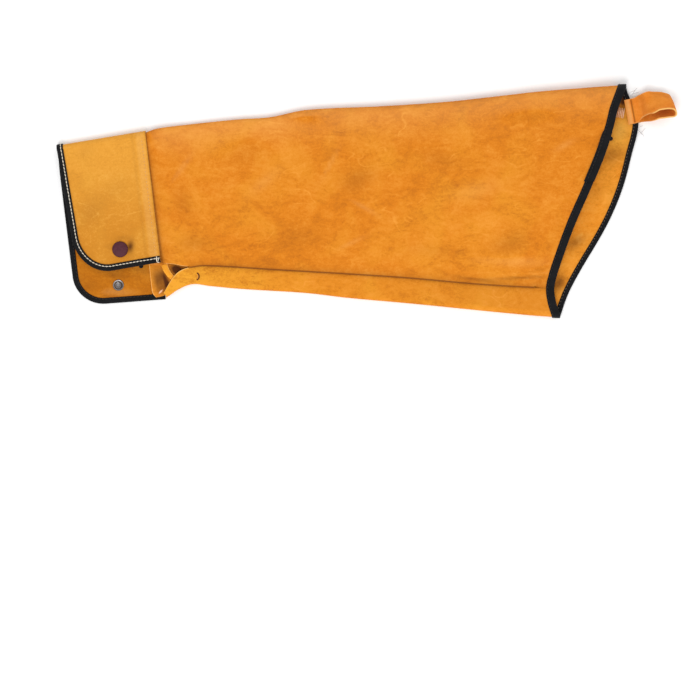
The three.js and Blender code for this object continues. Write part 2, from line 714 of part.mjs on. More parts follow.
function loopPoint(column, row) {
  const { x: out, y: height } = loopPath.getPointAt(row / loopSteps);
  const across = loopWidth * (column / loopStrips - 0.5);
  const turn = degToRad(loopTwist) * smoothstep(out, loopFlat, loopTwistEnd * loopReach);
  const opening = lerp(loopRoot, loopOpening / 2, smoothstep(out, loopFlat / 2, loopReach / 3));
  const axis = slack + (loopWidth / 2) * Math.sin(turn) + (opening + halfLeather) * Math.cos(turn);
  const way = degToRad(loopAngle);
  const side = across * Math.cos(turn) + height * Math.sin(turn);
  return new THREE.Vector3(
    loopSpot.x + out * Math.cos(way) - side * Math.sin(way),
    loopSpot.y + out * Math.sin(way) + side * Math.cos(way),
    axis + height * Math.cos(turn) - across * Math.sin(turn),
  );
}

// Snap parts, turned profiles: radius and height from the middle of the leather
const face = halfLeather + clearance;

function turned(profile, frame) {
  const points = profile.map(([radius, height]) => new THREE.Vector2(radius, height));
  const geometry = new THREE.LatheGeometry(points, snapSides);
  geometry.deleteAttribute('normal');
  geometry.deleteAttribute('uv');
  return onSheet(facingOut(mergeVertices(geometry, 1e-4)), frame);
}

function capProfile() {
  const rim = capHeight * rimShare;
  const tip = -face - socketHeight * 0.4;
  const profile = [
    [0, tip], [rivetRadius, tip], [rivetRadius, face], [capRadius - 0.3, face],
    [capRadius, face + rim * 0.5],
  ];
  for (let i = 0; i <= 5; i += 1) {
    const angle = (Math.PI / 2) * (i / 5);
    const radius = i === 5 ? 0 : (capRadius - 0.2) * Math.cos(angle);
    profile.push([radius, face + rim + (capHeight - rim) * Math.sin(angle)]);
  }
  return profile;
}

const socketProfile = [
  [holeRadius, -face], [socketRadius, -face], [socketRadius, -face - socketHeight * 0.45],
  [socketRadius - 0.8, -face - socketHeight], [ballRadius + 0.5, -face - socketHeight],
  [ballRadius + 0.5, -face - socketHeight * 0.5], [holeRadius, -face - socketHeight * 0.5],
  [holeRadius, -face],
];

const studProfile = [
  [holeRadius, face], [studRadius, face], [studRadius, face + studHeight * 0.15],
  [studRadius - 0.6, face + studHeight * 0.27], [ballRadius - 0.2, face + studHeight * 0.32],
  [ballRadius - 0.5, face + studHeight * 0.5], [ballRadius, face + studHeight * 0.7],
  [ballRadius - 0.3, face + studHeight * 0.88], [ballRadius - 0.9, face + studHeight],
  [holeRadius, face + studHeight * 0.96], [holeRadius, face],
];

const postProfile = [
  [0, face + studHeight * 0.94], [rivetRadius, face + studHeight * 0.94], [rivetRadius, -face],
  [flangeRadius, -face], [flangeRadius, -face - tape * 0.6], [flangeRadius - 0.4, -face - tape],
  [rivetBore + 0.8, -face - tape], [rivetBore, -face - tape * 0.2],
  [rivetBore, face + studHeight * 0.7], [0, face + studHeight * 0.7],
];

// Materials
const suede = new THREE.MeshStandardMaterial({ color: 0xe28e2b, roughness: 0.95, metalness: 0 });
const paleSuede = new THREE.MeshStandardMaterial({ color: 0xe09a38, roughness: 0.95, metalness: 0 });
const bindingTape = new THREE.MeshStandardMaterial({ color: 0x1d1d20, roughness: 0.8, metalness: 0 });
const bronze = new THREE.MeshStandardMaterial({ color: 0x5a3640, roughness: 0.35, metalness: 0.8 });
const nickel = new THREE.MeshStandardMaterial({ color: 0xb9b9bd, roughness: 0.3, metalness: 1 });

// Assembly
const sleeve = new THREE.Group();

function addPiece(name, geometry, material) {
  const mesh = new THREE.Mesh(geometry, material);
  mesh.name = name;
  sleeve.add(mesh);
}

addPiece('sleeve_body', bodyGeometry, suede);
addPiece('cuff_panel', cuffGeometry, paleSuede);
addPiece('cuff_binding', tapeGeometry(cuffBindingStations(), cuffBindingWidth), bindingTape);
addPiece('armhole_binding', tapeGeometry(armholeBindingStations(), armholeBindingWidth), bindingTape);
addPiece('hanging_loop', facingOut(sheetGeometry(loopStrips, loopSteps, loopPoint, () => true)), suede);
addPiece('snap_cap', turned(capProfile(), capFrame), bronze);
addPiece('snap_socket', turned(socketProfile, capFrame), nickel);
addPiece('snap_stud', turned(studProfile, studFrame), nickel);
addPiece('snap_post', turned(postProfile, studFrame), nickel);

// The part's origin: bottom centre of its box
const box = new THREE.Box3().setFromObject(sleeve);
const centre = box.getCenter(new THREE.Vector3());
sleeve.position.set(-centre.x, -centre.y, -box.min.z);
sleeve.updateMatrixWorld(true);

export default sleeve;
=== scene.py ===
"""Looks of a welding sleeve in split cowhide, lying flat and empty, seen from straight above.

Sizes are millimetres until a mesh is made. While a piece is drawn, x runs from the cuff to the
armhole and y towards the long fold, both from the point where the cuff's lapped edge meets the fold.
"""

import math

import bmesh
import bpy
import numpy as np
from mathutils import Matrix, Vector


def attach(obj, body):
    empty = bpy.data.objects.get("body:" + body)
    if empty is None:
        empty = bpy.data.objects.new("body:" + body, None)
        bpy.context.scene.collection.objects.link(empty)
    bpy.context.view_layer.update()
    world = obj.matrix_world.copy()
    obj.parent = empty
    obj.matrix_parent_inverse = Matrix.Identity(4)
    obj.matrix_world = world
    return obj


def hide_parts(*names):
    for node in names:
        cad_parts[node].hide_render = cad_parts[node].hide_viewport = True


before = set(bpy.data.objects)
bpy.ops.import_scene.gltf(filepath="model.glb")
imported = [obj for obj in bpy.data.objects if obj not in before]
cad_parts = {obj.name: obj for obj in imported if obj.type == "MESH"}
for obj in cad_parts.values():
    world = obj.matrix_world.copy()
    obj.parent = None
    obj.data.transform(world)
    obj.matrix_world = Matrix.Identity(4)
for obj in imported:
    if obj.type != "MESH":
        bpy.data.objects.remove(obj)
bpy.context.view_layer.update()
scene = bpy.context.scene


# Table, light and camera
# The sleeve lies on a white table under a broad white ceiling. One large soft lamp hangs on the
# near side, so that the only shadow falls behind the long fold. The camera hangs over the middle of
# the sleeve, far enough away to see both ends almost squarely. These sizes are in metres.
PICTURE_WIDTH = 0.7
PICTURE_CENTRE = (-0.01535, -0.14872)
CAMERA_HEIGHT = 2.5
SLEEVE_TOP = 0.008
TABLE_REACH = 6
CEILING_LIGHT = 0.92
LAMP_PLACE = (-0.45, -1.45, 2.75)
LAMP_SIZE = 1.6
LAMP_POWER = 42


def linear(code):
    """Colour of an sRGB hex code as linear red, green and blue, with alpha."""
    parts = [int(code[i:i + 2], 16) / 255 for i in (1, 3, 5)]
    curve = [p / 12.92 if p <= 0.04045 else ((p + 0.055) / 1.055) ** 2.4 for p in parts]
    return (*curve, 1)


def add_node(tree, kind, inputs=None, **settings):
    """One shader node with its settings. Each input is given a value or another node's output."""
    node = tree.nodes.new(kind)
    for key, value in settings.items():
        setattr(node, key, value)
    for key, value in (inputs or {}).items():
        if isinstance(value, bpy.types.NodeSocket):
            tree.links.new(value, node.inputs[key])
        else:
            node.inputs[key].default_value = value
    return node


def new_material(name):
    """An empty material and its node tree."""
    material = bpy.data.materials.new(name)
    material.use_nodes = True
    material.node_tree.nodes.clear()
    return material, material.node_tree


def finish_material(tree, surface):
    """Ends a node tree with its surface."""
    add_node(tree, "ShaderNodeOutputMaterial", {"Surface": surface.outputs[0]})


def link_object(name, mesh, *materials):
    """A new object of a mesh, in the scene."""
    for material in materials:
        mesh.materials.append(material)
    made = bpy.data.objects.new(name, mesh)
    scene.collection.objects.link(made)
    return made


table_white, tree = new_material("table white")
finish_material(tree, add_node(tree, "ShaderNodeBsdfPrincipled", {
    "Base Color": linear("#fbfbfb"), "Roughness": 0.9, "Specular IOR Level": 0.1}))
table_corners = [(TABLE_REACH * i, TABLE_REACH * j, 0) for i, j in ((-1, -1), (1, -1), (1, 1), (-1, 1))]
table_mesh = bpy.data.meshes.new("table")
table_mesh.from_pydata(table_corners, [], [(0, 1, 2, 3)])
link_object("table", table_mesh, table_white)

scene.world = bpy.data.worlds.new("white ceiling")
scene.world.use_nodes = True
sky = scene.world.node_tree.nodes["Background"]
sky.inputs["Color"].default_value = (1, 1, 1, 1)
sky.inputs["Strength"].default_value = CEILING_LIGHT

lamp_data = bpy.data.lights.new("near lamp", "AREA")
lamp_data.shape = "DISK"
lamp_data.size = LAMP_SIZE
lamp_data.energy = LAMP_POWER
lamp = bpy.data.objects.new("near lamp", lamp_data)
scene.collection.objects.link(lamp)
lamp.location = LAMP_PLACE
lamp.rotation_euler = (Vector((0, 0, 0)) - lamp.location).to_track_quat("-Z", "Y").to_euler()

camera_data = bpy.data.cameras.new("camera")
camera_data.lens = camera_data.sensor_width * (CAMERA_HEIGHT - SLEEVE_TOP) / PICTURE_WIDTH
camera_data.clip_end = 20
camera = bpy.data.objects.new("camera", camera_data)
scene.collection.objects.link(camera)
camera.location = (*PICTURE_CENTRE, CAMERA_HEIGHT)
scene.camera = camera
scene.view_settings.view_transform = "Standard"


# Cuff
# One panel of yellow split cowhide, folded at the top and open below, with the front flap shorter
# than the layer under it. It is lapped over the end of the body and sewn down through it.
CUFF_LENGTH = 88
CUFF_FALL = 14.6
LAP_WIDTH = 12
# Thickness of the leather, and the room that a ply of it or a ply of tape takes, gap included
LEATHER = 1.5
PLY = 1.8
WRAP = 1.2
# Lean of the lapped edge and of the open edge, in degrees
LAP_SLANT = 6.7
OPEN_SLANT = 7.1
# Lengths from the fold to the bound edge, and the rounded corners
FLAP_LENGTH = 131
UNDER_OPEN = 160
UNDER_LAP = 168
FLAP_CORNER = 38
UNDER_CORNER = 28
# Half heights of the fold, and heights of the flap's lower edge. The flap sinks from FLAP_BEND on.
OPEN_FOLD = 4.3
LAP_FOLD = 5.4
CUFF_LEVEL = WRAP + LEATHER / 2
FLAP_EDGE_OPEN = 6.45
FLAP_EDGE_LAP = 8.7
FLAP_BEND = 46
# How the worn open edges stray: the flap's in, per millimetre down, and the under layer's out
FLAP_DRAW = 0.042
UNDER_DRAW = 0.8
# The flap sinks beside the hidden edge of the body, and ripples: height, size and seed
SINK_DEPTH = 0.8
RIPPLE = (0.3, 34, 4)
# Where the drawn origin lies in the part's own frame
DRAWN_TO_PART = np.array([-219.88535, 69.85208, 0.00606])


def lerp(a, b, t):
    """The value a share t of the way from a to b."""
    return a + (b - a) * t


def ease(value, start, end):
    """From 0 at start to 1 at end, level at both."""
    t = np.clip((np.asarray(value, float) - start) / (end - start), 0, 1)
    return t * t * (3 - 2 * t)


def wander(x, y, size, seed):
    """A smooth random height from -1 to 1 over the plane, with lumps of about that size."""
    rng = np.random.default_rng(seed)
    total = np.zeros(np.broadcast(x, y).shape)
    for _ in range(9):
        way = rng.uniform(0, 2 * math.pi)
        length = size * rng.uniform(0.7, 1.7)
        phase = rng.uniform(0, 2 * math.pi)
        total = total + np.sin(2 * math.pi * (x * math.cos(way) + y * math.sin(way)) / length + phase)
    return total / 4.5


def grid_normals(middle):
    """Unit normals of a grid of points, towards the sheet's outer face."""
    along_rows = np.gradient(middle, axis=1)
    along_columns = np.gradient(middle, axis=0)
    normals = np.cross(along_rows, along_columns)
    return normals / np.linalg.norm(normals, axis=2, keepdims=True)


def to_mesh(name, points, faces, kinds=None, sharp=55, tones=None):
    """A mesh of drawn points in the part's own frame and metres, facing out, with smooth faces.
    tones holds a value for each point, by name, that a material can read."""
    mesh = bpy.data.meshes.new(name)
    placed = (np.asarray(points, float) + DRAWN_TO_PART) / 1000
    mesh.from_pydata(placed.tolist(), [], [list(map(int, face)) for face in faces])
    if kinds is not None:
        mesh.polygons.foreach_set("material_index", np.asarray(kinds, dtype=np.int32))
    mesh.polygons.foreach_set("use_smooth", np.ones(len(mesh.polygons), dtype=bool))
    for key, values in (tones or {}).items():
        layer = mesh.attributes.new(key, "FLOAT", "POINT")
        layer.data.foreach_set("value", np.asarray(values, dtype=np.float32).ravel())
    shape = bmesh.new()
    shape.from_mesh(mesh)
    bmesh.ops.delete(shape, geom=[v for v in shape.verts if not v.link_faces], context="VERTS")
    bmesh.ops.recalc_face_normals(shape, faces=shape.faces)
    if shape.calc_volume(signed=True) < 0:
        bmesh.ops.reverse_faces(shape, faces=shape.faces)
    shape.to_mesh(mesh)
    shape.free()
    mesh.set_sharp_from_angle(angle=math.radians(sharp))
    return mesh


def closed_sheet(name, middle, has_cell, shades=None, yellows=None, thickness=LEATHER):
    """A closed sheet over a grid of middle points. Its faces are of kind 0 outside, 1 inside and 2 at
    the cut edge. shades and yellows give each point of the outer and the inner face a tone."""
    columns, rows = middle.shape[:2]
    normals = grid_normals(middle)
    layers = [middle + normals * thickness / 2, middle - normals * thickness / 2]
    points = np.concatenate([layer.reshape(-1, 3) for layer in layers])
    under = columns * rows
    number = np.arange(under).reshape(columns, rows)
    c, r = np.nonzero(has_cell)
    corners = [number[c, r], number[c, r + 1], number[c + 1, r + 1], number[c + 1, r]]
    faces = [np.stack(corners, axis=1), np.stack(corners[::-1], axis=1) + under]
    kinds = [np.zeros(len(c), int), np.ones(len(c), int)]
    open_cell = np.pad(~has_cell, 1, constant_values=True)
    for step_c, step_r, first, second in ((0, 1, 0, 1), (2, 1, 2, 3), (1, 0, 3, 0), (1, 2, 1, 2)):
        free = open_cell[c + step_c, r + step_r]
        one, other = corners[first][free], corners[second][free]
        faces.append(np.stack([one, one + under, other + under, other], axis=1))
        kinds.append(np.full(len(one), 2))
    blank = np.zeros((2, columns, rows))
    tones = {"shade": blank if shades is None else shades, "yellow": blank if yellows is None else yellows}
    return to_mesh(name, points, np.concatenate(faces), np.concatenate(kinds), tones=tones)


def noise(tree, place, size, detail=2.0, rough=0.5, twist=0.0):
    """A noise from 0 to 1 over places in millimetres, with lumps of that size."""
    return add_node(tree, "ShaderNodeTexNoise", {
        "Vector": place, "Scale": 1 / size, "Detail": detail, "Roughness": rough,
        "Distortion": twist}).outputs[0]


def maths(tree, operation, *inputs, **settings):
    """The result of one operation on values or other nodes' outputs."""
    node = add_node(tree, "ShaderNodeMath", dict(enumerate(inputs)), operation=operation, **settings)
    return node.outputs[0]


def weigh(tree, value, weight, onto):
    """Adds weight times a value's distance from one half onto another value."""
    return maths(tree, "MULTIPLY_ADD", maths(tree, "SUBTRACT", value, 0.5), weight, onto)


def places_in_mm(tree):
    """Places on the part in millimetres."""
    place = add_node(tree, "ShaderNodeTexCoord").outputs["Object"]
    return add_node(tree, "ShaderNodeMapping", {"Vector": place, "Scale": (1000, 1000, 1000)}).outputs[0]


def bent(tree, place, size, push, turn, stretch):
    """The same places pushed about smoothly, then turned and drawn out, so that marks come out bent."""
    flow = add_node(tree, "ShaderNodeTexNoise", {"Vector": place, "Scale": 1 / size, "Detail": 1.5})
    centred = add_node(tree, "ShaderNodeVectorMath", {
        0: flow.outputs["Color"], 1: (0.5, 0.5, 0.5)}, operation="SUBTRACT").outputs[0]
    pushed = add_node(tree, "ShaderNodeVectorMath", {
        0: centred, 1: (push, push, push), 2: place}, operation="MULTIPLY_ADD").outputs[0]
    return add_node(tree, "ShaderNodeMapping", {
        "Vector": pushed, "Rotation": (0, 0, math.radians(turn)), "Scale": (1 / stretch, 1, 1)}).outputs[0]


def blend_colours(tree, share, first, second):
    """One colour fading to another."""
    return add_node(tree, "ShaderNodeMix", {0: share, 6: first, 7: second}, data_type="RGBA").outputs[2]


def between(tree, value, low, high, top=1.0):
    """How far a value is from low to high, from 0 to top."""
    return add_node(tree, "ShaderNodeMapRange", {0: value, 1: low, 2: high, 4: top}).outputs[0]


# Marks of the nap: weight, then how the place is bent as size, push, turn and stretch, then the
# lumps' size, detail, roughness and distortion
NAP_MARKS = (
    (0.55, None, 80, 3, 0.55, 0.8),
    (0.75, (60, 40, 20, 1.6), 19, 4, 0.6, 1.0),
    (0.4, (30, 20, 0, 1.3), 7, 3, 0.6, 0.8),
    (0.32, (35, 26, 32, 5), 4.5, 3, 0.6, 0.6),
    (0.3, (28, 22, -38, 5), 3, 3, 0.6, 0.5))
# Fibres of split hide are about 0.1 mm thick, so their tufts are drawn as coarse as the render shows
TUFT_SIZE = 2.6
FUZZ_SIZE = 0.9
SCRATCH_BEND = (40, 30, 50, 2.2)
SCRATCH_SIZE = 26
PATCH_SIZE = 24
TINT_SIZE = 45
LUMP_SIZE = 6


def suede(name, dark, middle, light, far=None, far_span=(60, -60), contrast=1.0, yellow="#d89b38"):
    """Split cowhide with its nap brushed to and fro: soft blotches, bent brush marks, a few pale
    scratches and a short fuzz. far is a second middle colour, reached between two places in y.
    A point's shade darkens it towards brown, or below 0 lightens it: it carries stains, and also
    painted shade and painted highlights. Its yellow tints it."""
    material, tree = new_material(name)
    place = places_in_mm(tree)
    value = 0.5
    for weight, flow, *grain in NAP_MARKS:
        marks = noise(tree, bent(tree, place, *flow) if flow else place, *grain)
        value = weigh(tree, marks, weight * contrast, value)
    value = weigh(tree, noise(tree, place, TUFT_SIZE, 3, 0.7, 0.6), 0.7, value)
    fuzz = noise(tree, place, FUZZ_SIZE, 3, 0.7)
    value = weigh(tree, fuzz, 0.55, value)
    # A scratch runs where a winding noise is near one half, and shows in patches
    winding = noise(tree, bent(tree, place, *SCRATCH_BEND), SCRATCH_SIZE, 1.5)
    off = maths(tree, "ABSOLUTE", maths(tree, "SUBTRACT", winding, 0.5))
    where = between(tree, noise(tree, place, PATCH_SIZE), 0.5, 0.62, 0.3 * contrast)
    value = maths(tree, "MULTIPLY_ADD", between(tree, off, 0.01, 0.0), where, value)
    middle_colour = linear(middle)
    if far:
        y = add_node(tree, "ShaderNodeSeparateXYZ", {0: place}).outputs[1]
        fade = add_node(tree, "ShaderNodeMapRange", {
            0: y, 1: far_span[0], 2: far_span[1]}, interpolation_type="SMOOTHSTEP").outputs[0]
        middle_colour = blend_colours(tree, fade, linear(middle), linear(far))
    tint = between(tree, noise(tree, place, TINT_SIZE, twist=0.5), 0.45, 0.75, 0.35)
    own = add_node(tree, "ShaderNodeAttribute", attribute_name="yellow").outputs["Fac"]
    tint = maths(tree, "ADD", tint, own, use_clamp=True)
    middle_colour = blend_colours(tree, tint, middle_colour, linear(yellow))
    colour = blend_colours(tree, between(tree, value, 0.0, 0.5), linear(dark), middle_colour)
    colour = blend_colours(tree, between(tree, value, 0.5, 1.0), colour, linear(light))
    # The shade attribute holds stains, painted shade and painted highlights
    shade = add_node(tree, "ShaderNodeAttribute", attribute_name="shade").outputs["Fac"]
    colour = blend_colours(tree, between(tree, shade, 0, 1), colour, linear("#4e260c"))
    colour = blend_colours(tree, between(tree, shade, 0, -1), colour, linear("#f8cf8a"))
    lumps = noise(tree, place, LUMP_SIZE, 4, 0.6, 0.5)
    height = maths(tree, "MULTIPLY_ADD", lumps, 1.2, fuzz)
    bump = add_node(tree, "ShaderNodeBump", {"Strength": 0.55, "Distance": 0.0003, "Height": height})
    finish_material(tree, add_node(tree, "ShaderNodeBsdfPrincipled", {
        "Base Color": colour, "Roughness": 0.95, "Specular IOR Level": 0.15,
        "Sheen Weight": 0.12, "Sheen Roughness": 0.6, "Sheen Tint": linear("#ffc27a"),
        "Normal": bump.outputs[0]}))
    return material


# The cuff's face is the yellowest hide, rubbed smooth. Its under layer is deeper and browner, partly
# its own flesh side and partly painted shade from the flap over it. A cut edge shows the pale core of
# the hide.
cuff_face = suede("cuff suede", "#b87a28", "#d89433", "#e3a548", far="#c27b20", far_span=(55, -50),
                  contrast=0.6)
cuff_inside = suede("cuff suede, under layer", "#92520c", "#b5680c", "#c87f1e")
cut_edge = suede("cut edge of the suede", "#c98a3c", "#dda352", "#e8bb74")


def blots(x, y, marks):
    """Strength of soft oval marks: centre, half length, half width, degrees turned, strength."""
    total = 0
    for centre_x, centre_y, long, wide, turn, strength in marks:
        turn = math.radians(turn)
        u = (x - centre_x) * math.cos(turn) + (y - centre_y) * math.sin(turn)
        v = (y - centre_y) * math.cos(turn) - (x - centre_x) * math.sin(turn)
        total = total + strength * np.exp(-((u / long) ** 2) - (v / wide) ** 2)
    return total


def cuff_slant(p):
    """How far a line across the cuff leans, per millimetre down."""
    return np.tan(np.radians(lerp(OPEN_SLANT, LAP_SLANT, p)))


def cuff_fold_y(p):
    """The cuff's fold."""
    return -CUFF_FALL * (1 - p)


def cuff_fold_radius(p):
    """Half the height of the cuff's fold, to the middle of the leather."""
    return lerp(OPEN_FOLD, LAP_FOLD, p)


def flap_height(p, q):
    """Height of the flap's middle at a share p along the cuff and q millimetres from its fold."""
    top = CUFF_LEVEL + 2 * cuff_fold_radius(p)
    edge = lerp(FLAP_EDGE_OPEN, FLAP_EDGE_LAP, np.clip(p, 0, 1) ** 2)
    return lerp(top, edge, ease(q, FLAP_BEND, FLAP_LENGTH))


def rounded_length(p, length, corner):
    """How far a layer reaches from the fold, with its corner at the open end rounded."""
    to_edge = corner - CUFF_LENGTH * p
    arc = np.sqrt(np.maximum(corner ** 2 - np.maximum(to_edge, 0) ** 2, 0))
    return np.where(to_edge <= 0, length - WRAP, length - WRAP - corner + arc)


def flap_edge(p):
    """Where the front flap's leather ends."""
    return rounded_length(p, FLAP_LENGTH, FLAP_CORNER)


def under_edge(p):
    """Where the under layer's leather ends."""
    return rounded_length(p, lerp(UNDER_OPEN, UNDER_LAP, p), UNDER_CORNER)


def cuff_place(p, q, height):
    """A point of the cuff."""
    x = CUFF_LENGTH * (p - 1) + cuff_slant(p) * q
    y = cuff_fold_y(p) - q
    return np.stack(np.broadcast_arrays(x, y, height), axis=-1)


def cuff_middle(p, zone, at):
    """Middle of the cuff's leather at shares p along it and a share of one of its three stretches."""
    radius = cuff_fold_radius(p)
    if zone == "fold":
        q = radius * (1 - math.sin(math.pi * at))
        return cuff_place(p, q, CUFF_LEVEL + radius * (1 - math.cos(math.pi * at)))
    if zone == "under":
        q = lerp(radius, under_edge(p), at)
        points = cuff_place(p, q, CUFF_LEVEL + 0 * p)
        points[..., 0] -= UNDER_DRAW * ease(q, 5, 30) * (1 - np.clip(p, 0, 1)) ** 2
        return points
    q = lerp(radius, flap_edge(p), at)
    points = cuff_place(p, q, flap_height(p, q))
    points[..., 0] += FLAP_DRAW * q * (1 - np.clip(p, 0, 1)) ** 2
    return points


def cuff_surface(p, zone, at):
    """The cuff as it lies: the flap sinks and ripples a little, but not at its edges."""
    points = cuff_middle(p, zone, at)
    if zone == "flap":
        beside = ease((1 - p) * CUFF_LENGTH, LAP_WIDTH - 2, LAP_WIDTH + 9)
        keep = math.sin(math.pi * min(at * 4, 0.5)) * math.sin(math.pi * min((1 - at) * 4, 0.5))
        height, *lumps = RIPPLE
        points[..., 2] -= SINK_DEPTH * beside * keep * ease(p, 0, 0.15)
        points[..., 2] += height * wander(points[..., 0], points[..., 1], *lumps) * keep * ease(p, 0, 0.2)
    return points


corner_steps = np.arange(24) / 24
cuff_shares = np.concatenate([
    FLAP_CORNER / CUFF_LENGTH * (1 - np.cos(math.pi / 2 * corner_steps)),
    lerp(FLAP_CORNER / CUFF_LENGTH, 1, np.arange(43) / 42)])
cuff_rows = [("under", 1 - i / 60) for i in range(60)]
cuff_rows += [("fold", i / 16) for i in range(17)]
cuff_rows += [("flap", i / 66) for i in range(1, 67)]
cuff_grid = np.stack([cuff_surface(cuff_shares, zone, at) for zone, at in cuff_rows], axis=1)
cuff_x, cuff_y = cuff_grid[..., 0], cuff_grid[..., 1]
from_lap = (1 - cuff_shares[:, None]) * CUFF_LENGTH
is_flap = np.array([zone != "under" for zone, _ in cuff_rows])
# Soft stains of the flap and of the under layer: centre, half length, half width, turn, strength. The
# flap's first mark is the cap's painted shadow, to its right.
CUFF_STAINS_AND_CAP_SHADOW = (
    (-15.2, -115.2, 6, 3.4, 80, 0.95), (-23, -106.5, 7, 2, 10, 0.2), (-33, -116, 3, 6, 80, 0.12),
    (-55, -80, 15, 11, 60, 0.14), (-60, -20, 10, 6, 20, 0.1), (-30, -58, 16, 9, 30, 0.07))
# The under layer's third and fourth marks are painted shadow along the flap's edge
UNDER_STAINS_AND_FLAP_SHADOW = (
    (-30, -144, 12, 3, -6, 0.3), (-68, -150, 9, 7, 60, 0.12), (-3, -138, 8, 4, 0, 0.12),
    (-28, -138.5, 50, 2.5, -3, 0.08), (-55, -155, 9, 6, 0, 0.16), (-30, -160.5, 17, 3, -2, -0.11))
cuff_shade = np.zeros((2, *cuff_x.shape))
# Besides its stains, the flap gets painted shade at its lapped edge, a painted highlight on the raised lap
# band and a line of painted shade just past that band
cuff_shade[0] = is_flap * (
    blots(cuff_x, cuff_y, CUFF_STAINS_AND_CAP_SHADOW) + 0.45 * np.exp(-from_lap / 0.8) - 0.1 * ease(from_lap, LAP_WIDTH, 8)
    + 0.1 * np.exp(-((from_lap - LAP_WIDTH - 1.5) / 1.6) ** 2))
cuff_shade[1] = ~is_flap * blots(cuff_x, cuff_y, UNDER_STAINS_AND_FLAP_SHADOW)
cuff_mesh = closed_sheet(
    "cuff", cuff_grid, np.ones((len(cuff_shares) - 1, len(cuff_rows) - 1), bool), cuff_shade)
cuff = link_object("cuff", cuff_mesh, cuff_face, cuff_inside, cut_edge)
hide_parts("cuff_panel")
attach(cuff, "root")


# Body
# One sheet of orange split cowhide, folded along the top. Its lower end turns up on the front as a
# strip, and the front's edge is turned in and sewn over the strip. The seam stays open at the cuff.
BODY_LENGTH = 480.6
FOLD_RISE = 45.4
ARMHOLE_SLANT = 69
# How far down the lower fold and the seam lie
WRIST_DROP = 165.7
WAIST_DROP = 151.7
SHOULDER_DROP = 184.8
SEAM_DROP_WRIST = 134
SEAM_DROP_SHOULDER = 157
SEAM_ALLOWANCE = 8
SLIT_LENGTH = 27
WRIST_CORNER = 10.5
# Half heights of the lower fold at both ends and of the long fold, and the front's crown
WRIST_FOLD = 1.8
SHOULDER_FOLD = 4
ARMHOLE_FOLD = 9
WRIST_CROWN = 1
ARMHOLE_CROWN = 7
SETTLE_LENGTH = 45
# Width of the solid's cuff binding, which presses the sheets, the flat stretch that carries the
# armhole's, and a length for the seam to close in before it
CUFF_BINDING = 6.6
BAND = 12.5
SEAM_CLOSE = 7
# The loop's width, its share down the armhole, and how it lifts the back
LOOP_WIDTH = 24.5
LOOP_PLACE = 0.108
LOOP_LIFT = 2.1
LIFT_MARGIN = 6
LIFT_REACH = 26
LIFT_EASE = 30
# Gentle lumps of the front: height, size and seed
LUMPS = ((0.35, 60, 1), (0.16, 21, 2))


def hermite(t, start, end, start_slope, end_slope):
    """A cubic from start to end with those slopes."""
    return (start * (2 * t ** 3 - 3 * t ** 2 + 1) + end * (3 * t ** 2 - 2 * t ** 3)
            + start_slope * (t ** 3 - 2 * t ** 2 + t) + end_slope * (t ** 3 - t ** 2))


def smooth_line(*rows):
    """A smooth line through rows of a place and a value, read at any place."""
    places, values = np.array(rows, float).T
    chords = np.diff(values) / np.diff(places)
    inner = (values[2:] - values[:-2]) / (places[2:] - places[:-2])
    tangents = np.concatenate([chords[:1], inner, chords[-1:]])

    def line(place):
        i = np.clip(np.searchsorted(places, place, side="right") - 1, 0, len(chords) - 1)
        span = places[i + 1] - places[i]
        raw = (place - places[i]) / span
        t = np.clip(raw, 0, 1)
        curve = hermite(t, values[i], values[i + 1], span * tangents[i], span * tangents[i + 1])
        return curve + (raw - t) * span * chords[i]

    return line


# Long fold: share of the body's length, share of the fold's rise
fold_share = smooth_line(
    (0, -PLY / FOLD_RISE), (0.025, 0.05), (0.094, 0.147), (0.196, 0.257), (0.258, 0.3), (0.334, 0.46),
    (0.488, 0.54), (0.625, 0.635), (0.73, 0.755), (0.833, 0.875), (1, 1))
# Seam: share of the length, share of the way from its drop at the wrist to that at the shoulder
seam_share = smooth_line(
    (0, 0), (0.05, -0.04), (0.087, 0.08), (0.123, 0), (0.265, 0.17), (0.53, 0.51), (0.695, 0.81),
    (0.833, 0.97), (1, 1.03))
# Lower fold: share of the length, share of the way from the waist's drop to the shoulder's
lower_share = smooth_line(
    (0, 0), (0.096, 0), (0.134, 0.063), (0.196, 0.148), (0.334, 0.275), (0.42, 0.42), (0.557, 0.6),
    (0.764, 0.9), (0.85, 1), (1, 1.05))
# How much of the wrist's flare is left at a share of the length
flare_share = smooth_line(
    (0, 1.25), (0.041, 1), (0.068, 0.41), (0.096, 0.02), (0.134, 0), (0.196, 0), (1, 0))
# Armhole: share down from the long fold, share of the slant that the sheet reaches out
front_reach = smooth_line(
    (0, 1), (0.1, 0.87), (0.18, 0.8), (0.3, 0.67), (0.44, 0.48), (0.6, 0.25), (0.75, 0.075),
    (0.87, -0.035), (0.93, -0.02), (1, 0.055))
back_reach = smooth_line(
    (0, 1), (0.05, 1.06), (0.15, 1.19), (0.3, 1.09), (0.45, 0.95), (0.6, 0.73), (0.8, 0.34), (0.9, 0.17),
    (1, 0.055))
# Soft dents of the front: shares along and down, half length, half width, degrees turned, depth
DENTS = (
    (0.3, 0.28, 60, 22, 20, 0.9), (0.52, 0.6, 80, 24, -12, 0.8), (0.7, 0.35, 70, 26, 28, 1),
    (0.86, 0.88, 55, 14, 4, 1.2), (0.14, 0.7, 45, 20, -30, 0.7))
